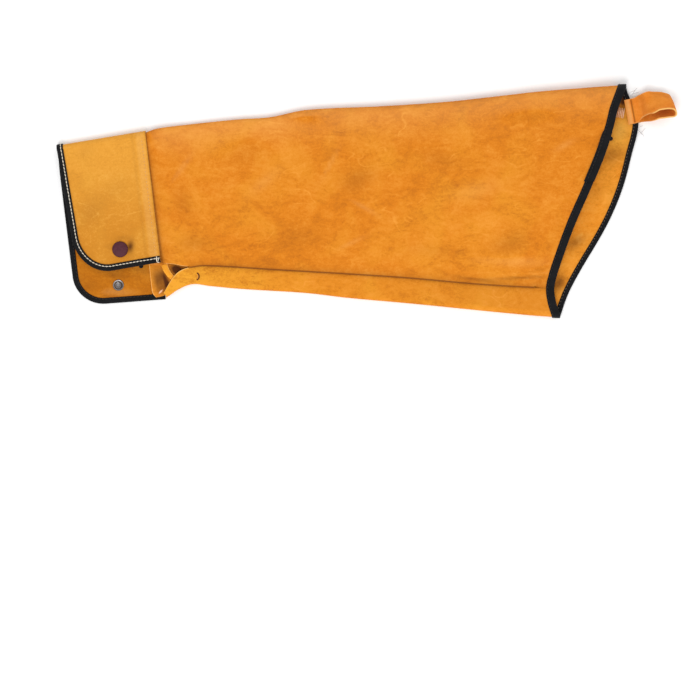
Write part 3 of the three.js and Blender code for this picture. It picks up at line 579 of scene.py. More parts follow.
# Small creases of the front, in the same columns
CREASES = (
    (0.845, 0.955, 26, 2.2, 11, 1.3), (0.815, 0.9, 22, 2.6, 33, 0.8), (0.9, 0.93, 16, 2, 28, 0.7),
    (0.2, 0.9, 22, 4, -18, 0.6), (0.12, 0.82, 24, 4, -30, 0.6), (0.32, 0.14, 16, 4, 70, 0.5),
    (0.39, 0.38, 20, 3.5, 35, 0.6), (0.36, 0.3, 15, 3.5, 60, 0.45), (0.67, 0.75, 24, 4, 15, 0.45))
ARMHOLE_WIDTH = SHOULDER_DROP + FOLD_RISE
SEAM_SHARE = (SEAM_DROP_SHOULDER + FOLD_RISE) / ARMHOLE_WIDTH
TOP_SHARE = ARMHOLE_FOLD / ARMHOLE_WIDTH
LOW_SHARE = 1 - SHOULDER_FOLD / ARMHOLE_WIDTH


def lap_x(down):
    """The cuff's lapped edge, at a share down the wrist."""
    return math.tan(math.radians(LAP_SLANT)) * down * WRIST_DROP


def fold_y(x):
    """The long fold."""
    return FOLD_RISE * fold_share(x / BODY_LENGTH)


def seam_y(x):
    """The seam line."""
    return -lerp(SEAM_DROP_WRIST, SEAM_DROP_SHOULDER, seam_share(x / BODY_LENGTH))


def lower_y(x):
    """The lower fold."""
    place = x / BODY_LENGTH
    drop = lerp(WAIST_DROP, SHOULDER_DROP, lower_share(place))
    return -(drop + (WRIST_DROP - WAIST_DROP) * flare_share(place))


def body_rows():
    """Rows round the body: stretch of the section, share of it, share down the armhole, its line."""
    rows = [("under", 0.0, SEAM_SHARE, front_reach)]
    rows += [("strip", i / 12, lerp(SEAM_SHARE, LOW_SHARE, i / 12), front_reach) for i in range(12)]

    def fold(zone, flat, first, second, steps):
        for i in range(steps + 1):
            at = i / steps
            down = flat + (round(flat) - flat) * math.sin(math.pi * at)
            yield zone, at, down, first if at < 0.5 else second

    rows += list(fold("lower", LOW_SHARE, front_reach, back_reach, 12))
    rows += [("back", i / 56, lerp(LOW_SHARE, TOP_SHARE, i / 56), back_reach) for i in range(1, 56)]
    rows += list(fold("top", TOP_SHARE, back_reach, front_reach, 16))
    rows += [("front", i / 92, lerp(TOP_SHARE, SEAM_SHARE, i / 92), front_reach)
             for i in (*range(1, 92), 91.6, 92)]
    rows += [("turn", i / 8, SEAM_SHARE, front_reach) for i in range(1, 9)]
    rows.append(("turned", 1.0, SEAM_SHARE, front_reach))
    return rows


rows = body_rows()
seam_run = BODY_LENGTH - ARMHOLE_SLANT - lap_x(SEAM_SHARE)
slit_end = SLIT_LENGTH / seam_run
band_start = 1 - BAND / seam_run
seam_ends = band_start - SEAM_CLOSE / seam_run
slit_shares = slit_end * (np.arange(1, 15) / 14) ** 1.2
long_shares = lerp(slit_end, seam_ends, np.arange(1, 133) / 132)
end_shares = [lerp(seam_ends, band_start, i / 3) for i in (1, 2, 3)]
band_shares = [lerp(band_start, 1, i / 5) for i in range(1, 6)]
lap_shares = [-1, -0.92, -0.5, 0]
shares = np.concatenate([lap_shares, slit_shares, long_shares, end_shares, band_shares])


def armhole_x(down, line):
    """Where the sheet ends at the armhole."""
    return BODY_LENGTH - WRAP - ARMHOLE_SLANT + ARMHOLE_SLANT * line(down)


def body_x(down, line):
    """Places along the body of one row's columns."""
    start = lap_x(down)
    to_corner = WRIST_CORNER - (1 - down) * WRIST_DROP
    round_off = 0
    if line is back_reach and to_corner > 0:
        round_off = WRIST_CORNER - math.sqrt(WRIST_CORNER ** 2 - min(to_corner, WRIST_CORNER) ** 2)
    along = lerp(start, armhole_x(down, line), shares)
    return np.where(shares < 0, start + shares * (LAP_WIDTH - round_off), along)


def back_height(x, down, to_armhole):
    """Height of the back sheet's middle: on the table, in the cuff, over binding and loop."""
    past_lap = x - lap_x(down)
    step_end = UNDER_LAP - 3 * CUFF_BINDING
    on_binding = ease(down * WRIST_DROP, step_end - 2 * CUFF_BINDING, step_end)
    in_cuff = CUFF_LEVEL + PLY + WRAP * on_binding - LEATHER / 2
    at_wrist = in_cuff * (1 - ease(past_lap, 0, SETTLE_LENGTH))
    at_armhole = WRAP * (1 - ease(to_armhole, BAND, BAND + SETTLE_LENGTH))
    from_loop = abs(down - LOOP_PLACE) * ARMHOLE_WIDTH
    loop_side = LOOP_WIDTH / 2 + LIFT_MARGIN
    across = 1 - ease(from_loop, loop_side, loop_side + LIFT_EASE)
    along = 1 - ease(to_armhole, LIFT_REACH, LIFT_REACH + LIFT_EASE)
    return LEATHER / 2 + at_wrist + at_armhole + LOOP_LIFT * across * along


def relief(x, y, marks):
    """Depth of a set of soft marks in the front, placed by shares along and down."""
    placed = []
    for along, down, *rest in marks:
        centre_x = along * BODY_LENGTH
        placed.append((centre_x, lerp(fold_y(centre_x), seam_y(centre_x), down), *rest))
    return blots(x, y, placed)


def front_height(x, y, at, past_lap, back_top, top_radius, strip, seam_step):
    """Height of the front sheet's middle: crowned, dented, and pressed under the cuff's flap."""
    run = back_top + 2 * top_radius
    crown = lerp(WRIST_CROWN, ARMHOLE_CROWN, np.clip(x / BODY_LENGTH, 0, 1))
    inside = ease(1 - at, 0, 0.12) * ease(at, 0, 0.12)
    lumps = sum(height * wander(x, y, size, seed) for height, size, seed in LUMPS)
    free = lerp(run, strip + seam_step, at) + crown * np.sin(math.pi * at)
    free = free - inside * (relief(x, y, DENTS) + lumps) - ease(1 - at, 0, 0.02) * relief(x, y, CREASES)
    p = np.minimum(1 + past_lap / CUFF_LENGTH, 1)
    q = cuff_fold_y(p) - y
    step_end = FLAP_LENGTH - 1.4 * CUFF_BINDING
    pressed = WRAP * ease(q, step_end - 2 * CUFF_BINDING, step_end)
    in_cuff = flap_height(p, q) - PLY - pressed
    return lerp(in_cuff, free, ease(past_lap, 0, 0.9 * SLIT_LENGTH))


def body_row(zone, at, down, line):
    """Middle of the leather along one row."""
    x = body_x(down, line)
    to_armhole = armhole_x(down, line) - x
    past_lap = x - lap_x(down)
    in_lap = past_lap < 0
    p = 1 + past_lap / CUFF_LENGTH
    free_radius = lerp(LAP_FOLD - PLY, ARMHOLE_FOLD, np.clip(past_lap / BODY_LENGTH, 0, 1))
    top_radius = np.where(in_lap, cuff_fold_radius(p) - PLY, free_radius)
    top_y = np.where(in_lap, cuff_fold_y(p) - PLY, fold_y(x - lap_x(0) * down))
    low_radius = lerp(WRIST_FOLD, SHOULDER_FOLD, np.clip(x / BODY_LENGTH, 0, 1))
    low_y = lower_y(x)
    back = back_height(x, down, to_armhole)
    back_low = back_height(x, 1, to_armhole)
    back_top = back_height(x, 0, to_armhole)
    closing = 1 - (1 - np.clip(shares / slit_end, 0, 1)) ** 1.35
    seam = seam_y(x)
    strip = back_low + 2 * low_radius
    butted = np.clip((shares - seam_ends) / (band_start - seam_ends), 0, 1)
    seam_step = 2 * PLY * (1 - butted)
    front_edge = seam + (PLY / 2) * (1 - butted)
    strip_edge = lerp(lerp(low_y + low_radius + 0.6, seam, closing), seam, butted)
    arc = math.pi * at
    heights = (past_lap, back_top, top_radius, strip, seam_step)
    if zone == "under":
        y, z = strip_edge + SEAM_ALLOWANCE, strip
    elif zone == "strip":
        y, z = lerp(strip_edge, low_y + low_radius, at), strip
    elif zone == "lower":
        y = low_y + low_radius * (1 - math.sin(arc))
        z = back_low + low_radius * (1 + math.cos(arc))
    elif zone == "back":
        y, z = lerp(low_y + low_radius, top_y - top_radius, at), back
    elif zone == "top":
        y = top_y - top_radius * (1 - math.sin(arc))
        z = back_top + top_radius * (1 - math.cos(arc))
    elif zone == "front":
        y = lerp(top_y - top_radius, front_edge, at)
        z = front_height(x, y, at, *heights)
    elif zone == "turn":
        edge = front_height(x, front_edge, 1, *heights)
        turn = PLY / 2 * np.maximum(1 - butted, 0.02)
        y = front_edge - turn * math.sin(arc)
        z = edge - turn * (1 - math.cos(arc))
    else:
        y = front_edge + SEAM_ALLOWANCE
        inner_at = 1 - SEAM_ALLOWANCE / (top_y - top_radius - front_edge)
        z = front_height(x, y, inner_at, *heights) - PLY
    return np.stack(np.broadcast_arrays(x, y, z), axis=-1)


body_grid = np.stack([body_row(*row) for row in rows], axis=1)
body_cells = np.ones((len(shares) - 1, len(rows) - 1), bool)
slit_column = len(lap_shares) + len(slit_shares) - 1
seam_end_column = slit_column + len(long_shares)
for number, (before, after) in enumerate(zip(rows[:-1], rows[1:])):
    if before[0] == "under" or after[0] in ("turn", "turned"):
        body_cells[:slit_column, number] = False
        body_cells[seam_end_column:, number] = False
    if after[0] in ("strip", "lower"):
        body_cells[:len(lap_shares), number] = False

# Soft marks of the nap on the front, darker and lighter: centre, half length, half width, turn and
# strength. The four thin marks near the seam between x 330 and 392 are painted shade and painted
# highlight along creases.
FRONT_STAINS_AND_CREASE_SHADE = (
    (212, -49, 17, 10, 30, 0.2), (365, -112, 18, 10, 20, 0.2), (152, -105, 24, 12, 0, 0.13),
    (38, -72, 9, 14, 20, 0.12), (48, -112, 16, 8, 0, 0.16), (295, -29, 20, 8, -10, 0.12),
    (382, 14, 24, 6, 5, 0.12), (158, 14, 18, 6, -10, 0.12), (290, -120, 30, 7, -6, 0.08),
    (100, -20, 22, 14, 10, 0.08), (218, -76, 16, 2.2, -30, -0.08), (418, -15, 11, 3, 30, -0.08),
    (185, -33, 15, 2, 62, -0.08), (36, -38, 18, 2.5, 55, -0.08), (365, -130, 38, 5, -3, -0.08),
    (205, -112, 14, 2, 25, -0.08), (375, -146.3, 30, 1.7, 3, 0.45), (330, -147.8, 22, 1.5, -8, 0.36),
    (384, -143, 26, 1.8, 3, -0.1), (392, -139, 16, 1.4, 14, 0.16), (330, -60, 22, 8, 15, -0.06),
    (120, -50, 20, 6, 40, -0.06))
# The same on the inner face of the back, in the armhole and in the slit. The four marks in the slit
# (x below 40) and the last one, deep in the long fold at the armhole, are painted shade.
INNER_STAINS_AND_SHADE = (
    (430, -111, 12, 6, 30, 0.48), (467, -24, 14, 7, 15, 0.42), (414, -152, 9, 6, 65, 0.75),
    (474, 2, 9, 7, 60, -0.06), (452, -60, 6, 5, 50, 0.12), (32, -139, 8, 5, -30, 1.6),
    (19.5, -147, 11, 3.2, -70, 0.95), (21, -155, 7, 3.5, 65, 0.5), (12, -150, 15, 5.5, -75, 0.8),
    (480, 33, 8.5, 7, 60, 1.5))
# A yellower patch of the inside beside the loop
INNER_YELLOW = ((476, 2, 22, 16, 70, 0.8),)
# Painted shade beside the cuff's lapped edge, along the seam, on the seam's turned edge and in the groove
# under it, and in a line along the outer edge of the long fold; the rest of the long fold gets a painted
# highlight. Raw edges are paler, and the strip is yellower near the slit.
body_shade = np.zeros((2, *body_grid.shape[:2]))
body_yellow = np.zeros((2, *body_grid.shape[:2]))
for number, (zone, at, down, line) in enumerate(rows):
    x, y = body_grid[:, number, 0], body_grid[:, number, 1]
    past_lap = x - lap_x(down)
    in_slit = shares < slit_end
    near_slit = lerp(0.85, 0.2, ease(x, 20, 190))
    # Painted shade along the cuff's lapped edge
    joint_shade = 0.5 * np.exp(-np.abs(past_lap) / 1.3) + 0.12 * np.exp(-np.abs(past_lap) / 7)
    if zone == "front":
        # Painted shade along the seam
        seam_shade = 0.3 * math.exp(-(1 - at) * 180 / 3.5) * ~in_slit
        raw = 0.55 * in_slit * (at > 0.998)
        # Painted highlight near the long fold
        fold_highlight = 0.11 * np.exp(-((fold_y(x) - y) / 24) ** 2)
        body_shade[0, :, number] = blots(x, y, FRONT_STAINS_AND_CREASE_SHADE) + joint_shade + seam_shade - fold_highlight - raw
    elif zone == "top":
        # On the long fold, a line of painted shade at its outer edge, and a painted highlight
        body_shade[0, :, number] = 0.36 * math.exp(-((at - 0.45) / 0.17) ** 2) - 0.095 + joint_shade
    elif zone == "turn":
        # The seam's turned edge is painted dark, as the shade in its groove
        body_shade[0, :, number] = 0.75
    elif zone == "strip":
        # Painted shade in the groove under the turned edge
        groove = 0.55 * math.exp(-at * 36 / 1.6) * (shares >= slit_end) * (1 - ease(shares, 0.3, 0.9) * 0.3)
        body_shade[0, :, number] = groove - 0.6 * in_slit * (at == 0) + 0.09 * ease(x, 170, 400)
        body_yellow[0, :, number] = near_slit
    elif zone == "lower":
        body_yellow[0, :, number] = (1 - at) * near_slit
    if zone in ("back", "top", "lower"):
        raw = 0.7 * (shares == -1)
        body_shade[1, :, number] = blots(x, y, INNER_STAINS_AND_SHADE) - raw
        body_yellow[1, :, number] = blots(x, y, INNER_YELLOW)

# The body is a redder orange hide with a longer nap, and its flesh side is a little brighter
body_face = suede("body suede", "#ae6012", "#d07817", "#e19133", contrast=1.2, yellow="#e29c2c")
body_inside = suede("body suede, inside", "#b0681a", "#e08821", "#ee9f3c", contrast=1.3)
body_mesh = closed_sheet("body", body_grid, body_cells, body_shade, body_yellow)
body = link_object("body", body_mesh, body_face, body_inside, cut_edge)
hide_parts("sleeve_body")
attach(body, "root")


# Cuff binding
# A black woven tape folded over the raw edge of the cuff: along the flap, round its corner, up the
# open edge, over the fold and back round the under layer. Its ends are cut off at the lapped edge.
TAPE = 0.9
TAPE_GAP = 0.12
TAPE_OUTER = 5.6
TAPE_INNER = 4.9
# Spacing of the tape's ribs, and sizes of its lint and its worn patches
RIB = 0.75
LINT_SIZE = 0.6
WORN_SIZE = 9


def lengths(points):
    """How far along a line of points each one lies."""
    return np.concatenate([[0], np.cumsum(np.linalg.norm(np.diff(points, axis=0), axis=1))])


def tape_mesh(name, places, normals, inward, width, inner_width, extra):
    """A tape folded over an edge as a closed sweep, with a map of millimetres along and across.
    width and inner_width are its plies outside and inside, and extra is how far both stand off."""
    half = LEATHER / 2 + TAPE_GAP
    out = half + TAPE
    bend = [math.pi / 2 * i / 5 for i in range(6)]
    section = [(inner_width, -out + 0.25), (inner_width - 0.3, -out)]
    section += [(-TAPE * math.sin(a), -out + TAPE * (1 - math.cos(a))) for a in bend]
    section += [(-TAPE * math.sin(a), out - TAPE * (1 - math.cos(a))) for a in reversed(bend)]
    section += [(width - 0.3, out), (width, out - 0.25), (width, half)]
    section += [(0.1, half), (0.1, -half), (inner_width, -half)]
    section = np.array(section)
    size = len(section)
    side = np.sign(section[:, 1])
    points = np.empty((len(places), size, 3))
    for k, (across, up) in enumerate(section):
        reach = across + (-0.3 if across < inner_width / 2 else 1.1) * extra
        points[:, k] = places + inward * reach[:, None] + normals * (up + side[k] * extra)[:, None]
    number = np.arange(len(places) * size).reshape(-1, size)
    around = np.roll(number, -1, axis=1)
    quads = np.stack([number[:-1], around[:-1], around[1:], number[1:]], axis=-1).reshape(-1, 4)
    faces = [list(quad) for quad in quads] + [list(number[0][::-1]), list(number[-1])]
    mesh = to_mesh(name, points.reshape(-1, 3), faces, sharp=70)
    flat = np.stack(np.meshgrid(lengths(places), lengths(section), indexing="ij"), axis=-1).reshape(-1, 2)
    layer = mesh.uv_layers.new(name="millimetres")
    corners = np.empty(len(mesh.loops), dtype=np.int32)
    mesh.loops.foreach_get("vertex_index", corners)
    layer.data.foreach_set("uv", flat[corners].astype(np.float32).ravel())
    return mesh


def woven_tape(name, dark, light):
    """Black woven tape with fine ribs across it, a little dusty and worn on the ridges."""
    material, tree = new_material(name)
    flat = add_node(tree, "ShaderNodeUVMap", uv_map="millimetres").outputs[0]
    parts = add_node(tree, "ShaderNodeSeparateXYZ", {0: flat})
    slanted = maths(tree, "MULTIPLY_ADD", parts.outputs[1], 0.35, parts.outputs[0])
    ribs = maths(tree, "SINE", maths(tree, "MULTIPLY", slanted, 2 * math.pi / RIB))
    place = places_in_mm(tree)
    fuzz = noise(tree, place, LINT_SIZE, 3, 0.7)
    worn = noise(tree, place, WORN_SIZE, 4, 0.6, 0.5)
    value = maths(tree, "MULTIPLY_ADD", ribs, 0.22, 0.3)
    value = weigh(tree, fuzz, 0.7, value)
    value = weigh(tree, worn, 0.9, value)
    colour = blend_colours(tree, value, linear(dark), linear(light))
    height = maths(tree, "MULTIPLY_ADD", ribs, 0.5, fuzz)
    bump = add_node(tree, "ShaderNodeBump", {"Strength": 0.6, "Distance": 0.0002, "Height": height})
    finish_material(tree, add_node(tree, "ShaderNodeBsdfPrincipled", {
        "Base Color": colour, "Roughness": 0.85, "Specular IOR Level": 0.18,
        "Sheen Weight": 0.04, "Sheen Roughness": 0.5, "Normal": bump.outputs[0]}))
    return material


black_tape = woven_tape("black binding tape", "#040405", "#1e1e22")


def unit(vectors):
    """Vectors of length one."""
    return vectors / np.linalg.norm(vectors, axis=-1, keepdims=True)


def thin_out(points, step):
    """Numbers of the points to keep so that none is nearer than step to the one before."""
    kept = [0]
    for i in range(1, len(points)):
        if np.linalg.norm(points[i] - points[kept[-1]]) >= step or i == len(points) - 1:
            kept.append(i)
    return np.array(kept)


last_row = len(cuff_rows) - 1
path = [(column, last_row) for column in range(len(cuff_shares) - 1, 0, -1)]
path += [(0, row) for row in range(last_row, -1, -1)]
path += [(column, 0) for column in range(1, len(cuff_shares))]
columns, path_rows = np.array(path).T
kept = thin_out(cuff_grid[columns, path_rows], 1.1)
edge_points = cuff_grid[columns[kept], path_rows[kept]]
edge_normals = grid_normals(cuff_grid)[columns[kept], path_rows[kept]]
edge_run = unit(np.gradient(edge_points, axis=0))
edge_inward = unit(np.cross(edge_run, edge_normals))
cuff_tape = link_object("cuff_binding_tape", tape_mesh(
    "cuff binding", edge_points, edge_normals, edge_inward, TAPE_OUTER, TAPE_INNER,
    np.zeros(len(kept))), black_tape)
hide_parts("cuff_binding")
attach(cuff_tape, "root")


# Armhole binding
# The same tape, wider, folded over the raw edge of the armhole all the way round. Its end is lapped
# over its start on the front, a little below the long fold.
ARMHOLE_BINDING = 7.4
ARMHOLE_INNER = 4.9
JOIN_PLACE = 0.2
JOIN_LAP = 24
JOIN_GAP = 0.4

edge_rows = [i for i, row in enumerate(rows) if row[0] not in ("under", "turn", "turned")]
join = next(n for n, i in enumerate(edge_rows) if rows[i][0] == "front" and rows[i][2] > JOIN_PLACE)
ring = np.array(edge_rows[join:] + edge_rows[:join + JOIN_LAP])
ring_points = body_grid[-1, ring]
kept = thin_out(ring_points, 1.2)
ring, ring_points = ring[kept], ring_points[kept]
ring_into = unit(body_grid[-6, ring] - ring_points)
ring_run = unit(np.gradient(ring_points, axis=0))
ring_normals = unit(np.cross(ring_into, ring_run))
if np.mean(np.sum(ring_normals * grid_normals(body_grid)[-1, ring], axis=1)) < 0:
    ring_normals = -ring_normals
lapped = np.arange(len(ring)) > len(ring) - 1 - JOIN_LAP
ring_extra = lapped * (WRAP / 2 + JOIN_GAP * ease(np.cumsum(lapped) / JOIN_LAP, 0, 0.15))
# The body's columns meet the edge at a slant, so the tape's width is drawn out along them
square = unit(ring_into - ring_run * np.sum(ring_into * ring_run, axis=1)[:, None])
ring_inward = ring_into / np.maximum(np.sum(square * ring_into, axis=1), 0.5)[:, None]
armhole_tape = link_object("armhole_binding_tape", tape_mesh(
    "armhole binding", ring_points, ring_normals, ring_inward, ARMHOLE_BINDING, ARMHOLE_INNER,
    ring_extra), black_tape)
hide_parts("armhole_binding")
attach(armhole_tape, "root")


# Hanging loop
# A short strap of the same hide, doubled round the back edge of the armhole and sewn through. It
# twists up towards its far end, so that one sees into it.
LOOP_REACH = 37.7
LOOP_OPENING = 14
LOOP_FLAT = 6
LOOP_TAB = 9
LOOP_TAIL = 22
LOOP_ANGLE = 10.5
LOOP_TWIST = 50
LOOP_TWIST_END = 0.6
LOOP_ROOT = 3.15
LOOP_SLACK = 0.15
LOOP_COLUMNS = 18
# Steps along the strap: all, those of the tab in the armhole, and where the far end turns round
LOOP_STEPS = 150
TAB_STEPS = 30
FAR_STEPS = (66, 84)
# The tab bulges over the stitches: its place, half width and height, and the painted shadow line beside it
RIDGE = (-6.4, 2.6, 1.1)
TACK_SHADOW = (-2.6, 0.8)


def through(points, steps):
    """A smooth curve through points, cut into steps of equal length."""
    points = np.array(points, float)
    whole = np.concatenate([[2 * points[0] - points[1]], points, [2 * points[-1] - points[-2]]])
    dense = []
    for i in range(1, len(whole) - 2):
        p0, p1, p2, p3 = whole[i - 1:i + 3]
        d0, d1, d2 = (np.linalg.norm(b - a) ** 0.5 for a, b in ((p0, p1), (p1, p2), (p2, p3)))
        m1 = ((p1 - p0) / d0 - (p2 - p0) / (d0 + d1) + (p2 - p1) / d1) * d1
        m2 = ((p2 - p1) / d1 - (p3 - p1) / (d1 + d2) + (p3 - p2) / d2) * d1
        dense.append(hermite((np.arange(40) / 40)[:, None], p1, p2, m1, m2))
    dense = np.concatenate([*dense, points[-1:]])
    length = lengths(dense)
    at = np.linspace(0, length[-1], steps + 1)
    return np.stack([np.interp(at, length, dense[:, k]) for k in range(2)], axis=1)


upper = [(0.3, 0.8), (0.55, 0.93), (0.8, 1), (0.95, 0.72), (1, 0)]
upper = [(out * LOOP_REACH, wide * LOOP_OPENING / 2) for out, wide in upper]
lower = [(out, -wide) for out, wide in reversed(upper[:-1])]
loop_line = through(
    [(-LOOP_TAB, LOOP_ROOT), (0, LOOP_ROOT), (LOOP_FLAT, LOOP_ROOT), *upper, *lower,
     (LOOP_FLAT, -LOOP_ROOT), (0, -LOOP_ROOT), (-LOOP_TAIL, -LOOP_ROOT)], LOOP_STEPS)
loop_step = np.arange(LOOP_STEPS + 1)
loop_out = loop_line[None, :, 0]
loop_up = loop_line[None, :, 1]
loop_across = (LOOP_WIDTH * (np.arange(LOOP_COLUMNS + 1) / LOOP_COLUMNS - 0.5))[:, None]
loop_turn = math.radians(LOOP_TWIST) * ease(loop_out, LOOP_FLAT, LOOP_TWIST_END * LOOP_REACH)
loop_open = lerp(LOOP_ROOT, LOOP_OPENING / 2, ease(loop_out, LOOP_FLAT / 2, LOOP_REACH / 3))
loop_axis = (LOOP_SLACK + LOOP_WIDTH / 2 * np.sin(loop_turn)
             + (loop_open + LEATHER / 2) * np.cos(loop_turn))
loop_side = loop_across * np.cos(loop_turn) + loop_up * np.sin(loop_turn)
# How far the soft strap strays from a plain band, by its distance out: its far edge, and the near
# edge of its upper layer
far_edge = smooth_line((-22, 0), (0, 0.3), (7, 2.2), (15, 2.1), (23, 1.1), (31, -1.4), (38, -3.4))
near_edge = smooth_line(
    (-22, 0), (1, 0), (4, 2.8), (6.5, 4.6), (9, 4.9), (12, 3.8), (15, 0.9), (19, -1.5), (25, -2.6),
    (31, -3.1), (38, -3.6))
loop_share = loop_across / LOOP_WIDTH + 0.5
upper_layer = 1 - ease(loop_step, *FAR_STEPS)
loop_side = loop_side + far_edge(loop_out) * ease(loop_share, 0.25, 1)
loop_side = loop_side + near_edge(loop_out) * upper_layer * (1 - ease(loop_share, 0, 0.6))
loop_x = armhole_x(LOOP_PLACE, back_reach)
loop_y = lerp(fold_y(loop_x), lower_y(loop_x), LOOP_PLACE)
loop_way = math.radians(LOOP_ANGLE)
loop_grid = np.stack(np.broadcast_arrays(
    loop_x + loop_out * math.cos(loop_way) - loop_side * math.sin(loop_way),
    loop_y + loop_out * math.sin(loop_way) + loop_side * math.cos(loop_way),
    loop_axis + loop_up * np.cos(loop_turn) - loop_across * np.sin(loop_turn)), axis=-1)
ridge_place, ridge_width, ridge_height = RIDGE
line_place, line_width = TACK_SHADOW
on_tab = loop_step < TAB_STEPS
ridge = on_tab * np.exp(-((loop_line[:, 0] - ridge_place) / ridge_width) ** 2)
loop_grid[..., 2] += ridge_height * ridge
# The tab gets a painted highlight on its ridge and a painted shadow line beside it, the inner face of the
# hollow past the tab gets painted shade, and the cut edges are paler
loop_shade = np.zeros((2, *loop_grid.shape[:2]))
loop_shade[:] = 0.75 * on_tab * np.exp(-((loop_line[:, 0] - line_place) / line_width) ** 2) - 0.3 * ridge
loop_shade[1] += 0.12 * (loop_step > TAB_STEPS) * (loop_line[:, 0] > LOOP_FLAT)
loop_shade[:, [0, -1], :] = -0.25
# The strap is cut from the same orange hide, where it's more even
loop_face = suede("loop suede", "#bd661a", "#dd7922", "#ea933c", contrast=0.9)
loop = link_object("loop_strap", closed_sheet(
    "hanging loop", loop_grid, np.ones((LOOP_COLUMNS, LOOP_STEPS), bool), loop_shade),
    loop_face, loop_face, cut_edge)
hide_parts("hanging_loop")
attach(loop, "root")


# Snap fastener
# Four pressed parts: an enamelled cap and its socket on the flap, and a nickel stud on its post on
# the under layer, riveted through a hole in the leather.
CAP_ALONG = 0.56
STUD_ALONG = 0.486
CAP_RADIUS = 7.95
CAP_HEIGHT = 2.5
SOCKET_RADIUS = 6.2
SOCKET_HEIGHT = 2.5
STUD_RADIUS = 5.5
STUD_HEIGHT = 3.3
BALL_RADIUS = 3.3
FLANGE_RADIUS = 6.6
FLANGE = 0.9
RIVET_RADIUS = 1.7
RIVET_BORE = 1.2
HOLE_RADIUS = 2.0
# From the binding to the cap's rim and to the flange's
CAP_MARGIN = 3.75
STUD_MARGIN = 3.4
FACE = LEATHER / 2 + 0.3
# Sizes of the metal's dull patches, and of its pits, drawn coarser than they are so that they show
DULL_SIZE = 2.2
PIT_SIZE = 0.5


def turned(name, profile, place, normal, sides=64):
    """A mesh turned round an axis through a place: rows of a radius and a height above it. A profile
    that doesn't start on the axis is closed on itself."""
    turn = np.array(Vector((0, 0, 1)).rotation_difference(Vector(normal)).to_matrix())
    points, rings = [], []
    for radius, height in profile:
        count = sides if radius else 1
        rings.append([len(points) + i % count for i in range(sides)])
        points += [(radius * math.cos(a), radius * math.sin(a), height)
                   for a in 2 * math.pi * np.arange(count) / sides]
    if profile[0][0]:
        rings.append(rings[0])
    faces = []
    for first, second in zip(rings, rings[1:]):
        for i in range(sides):
            j = (i + 1) % sides
            faces.append(list(dict.fromkeys((first[i], first[j], second[j], second[i]))))
    faces = [face for face in faces if len(face) > 2]
    return to_mesh(name, np.array(points) @ turn.T + np.asarray(place), faces, sharp=40)


def metal(name, colour, rough, scratch, metallic=1.0, shine_level=0.5):
    """Pressed metal, plated or enamelled, with fine pits and dull patches from handling."""
    material, tree = new_material(name)
    place = places_in_mm(tree)
    patches = noise(tree, place, DULL_SIZE, 4, 0.65, 0.4)
    shine = add_node(tree, "ShaderNodeMapRange", {
        0: patches, 1: 0.3, 2: 0.7, 3: rough * 0.7, 4: rough * 1.4}).outputs[0]
    worn = between(tree, patches, 0.35, 0.75)
    shade = blend_colours(tree, worn, linear(colour), linear(scratch))
    pits = noise(tree, place, PIT_SIZE, 3, 0.7)
    bump = add_node(tree, "ShaderNodeBump", {"Strength": 0.25, "Distance": 0.0001, "Height": pits})
    finish_material(tree, add_node(tree, "ShaderNodeBsdfPrincipled", {
        "Base Color": shade, "Metallic": metallic, "Roughness": shine,
        "Specular IOR Level": shine_level, "Normal": bump.outputs[0]}))
    return material


# Enamel baked on steel, matt and dark red. Nickel plate, tarnished to a soft grey shine.
cap_enamel = metal("cap enamel", "#461e26", 0.55, "#583039", metallic=0.05, shine_level=0.15)
snap_nickel = metal("snap nickel", "#918d8c", 0.34, "#5d5856")

cap_drop = float(flap_edge(CAP_ALONG)) - CUFF_BINDING - CAP_RADIUS - CAP_MARGIN
stud_drop = float(under_edge(STUD_ALONG)) - CUFF_BINDING - FLANGE_RADIUS - STUD_MARGIN
cap_place = cuff_place(CAP_ALONG, cap_drop, flap_height(CAP_ALONG, cap_drop))
ahead = CAP_ALONG + 0.5 / CUFF_LENGTH
along_p = cuff_place(ahead, cap_drop, flap_height(ahead, cap_drop)) - cap_place
along_q = cuff_place(CAP_ALONG, cap_drop + 0.5, flap_height(CAP_ALONG, cap_drop + 0.5)) - cap_place
cap_normal = unit(np.cross(along_q, along_p))
stud_place = cuff_place(STUD_ALONG, stud_drop, CUFF_LEVEL)
stud_normal = (0, 0, 1)

rim = CAP_HEIGHT * 0.3
cap_tip = -FACE - SOCKET_HEIGHT * 0.4
cap_profile = [(0, cap_tip), (RIVET_RADIUS, cap_tip), (RIVET_RADIUS, FACE), (CAP_RADIUS - 0.3, FACE),
               (CAP_RADIUS, FACE + rim * 0.5)]
for i in range(13):
    a = math.pi / 2 * i / 12
    radius = (CAP_RADIUS - 0.2) * math.cos(a) if i < 12 else 0
    cap_profile.append((radius, FACE + rim + (CAP_HEIGHT - rim) * math.sin(a) ** 0.8))
socket_profile = [
    (HOLE_RADIUS, -FACE), (SOCKET_RADIUS, -FACE), (SOCKET_RADIUS, -FACE - SOCKET_HEIGHT * 0.45),
    (SOCKET_RADIUS - 0.8, -FACE - SOCKET_HEIGHT), (BALL_RADIUS + 0.5, -FACE - SOCKET_HEIGHT),
    (BALL_RADIUS + 0.5, -FACE - SOCKET_HEIGHT * 0.5), (HOLE_RADIUS, -FACE - SOCKET_HEIGHT * 0.5)]
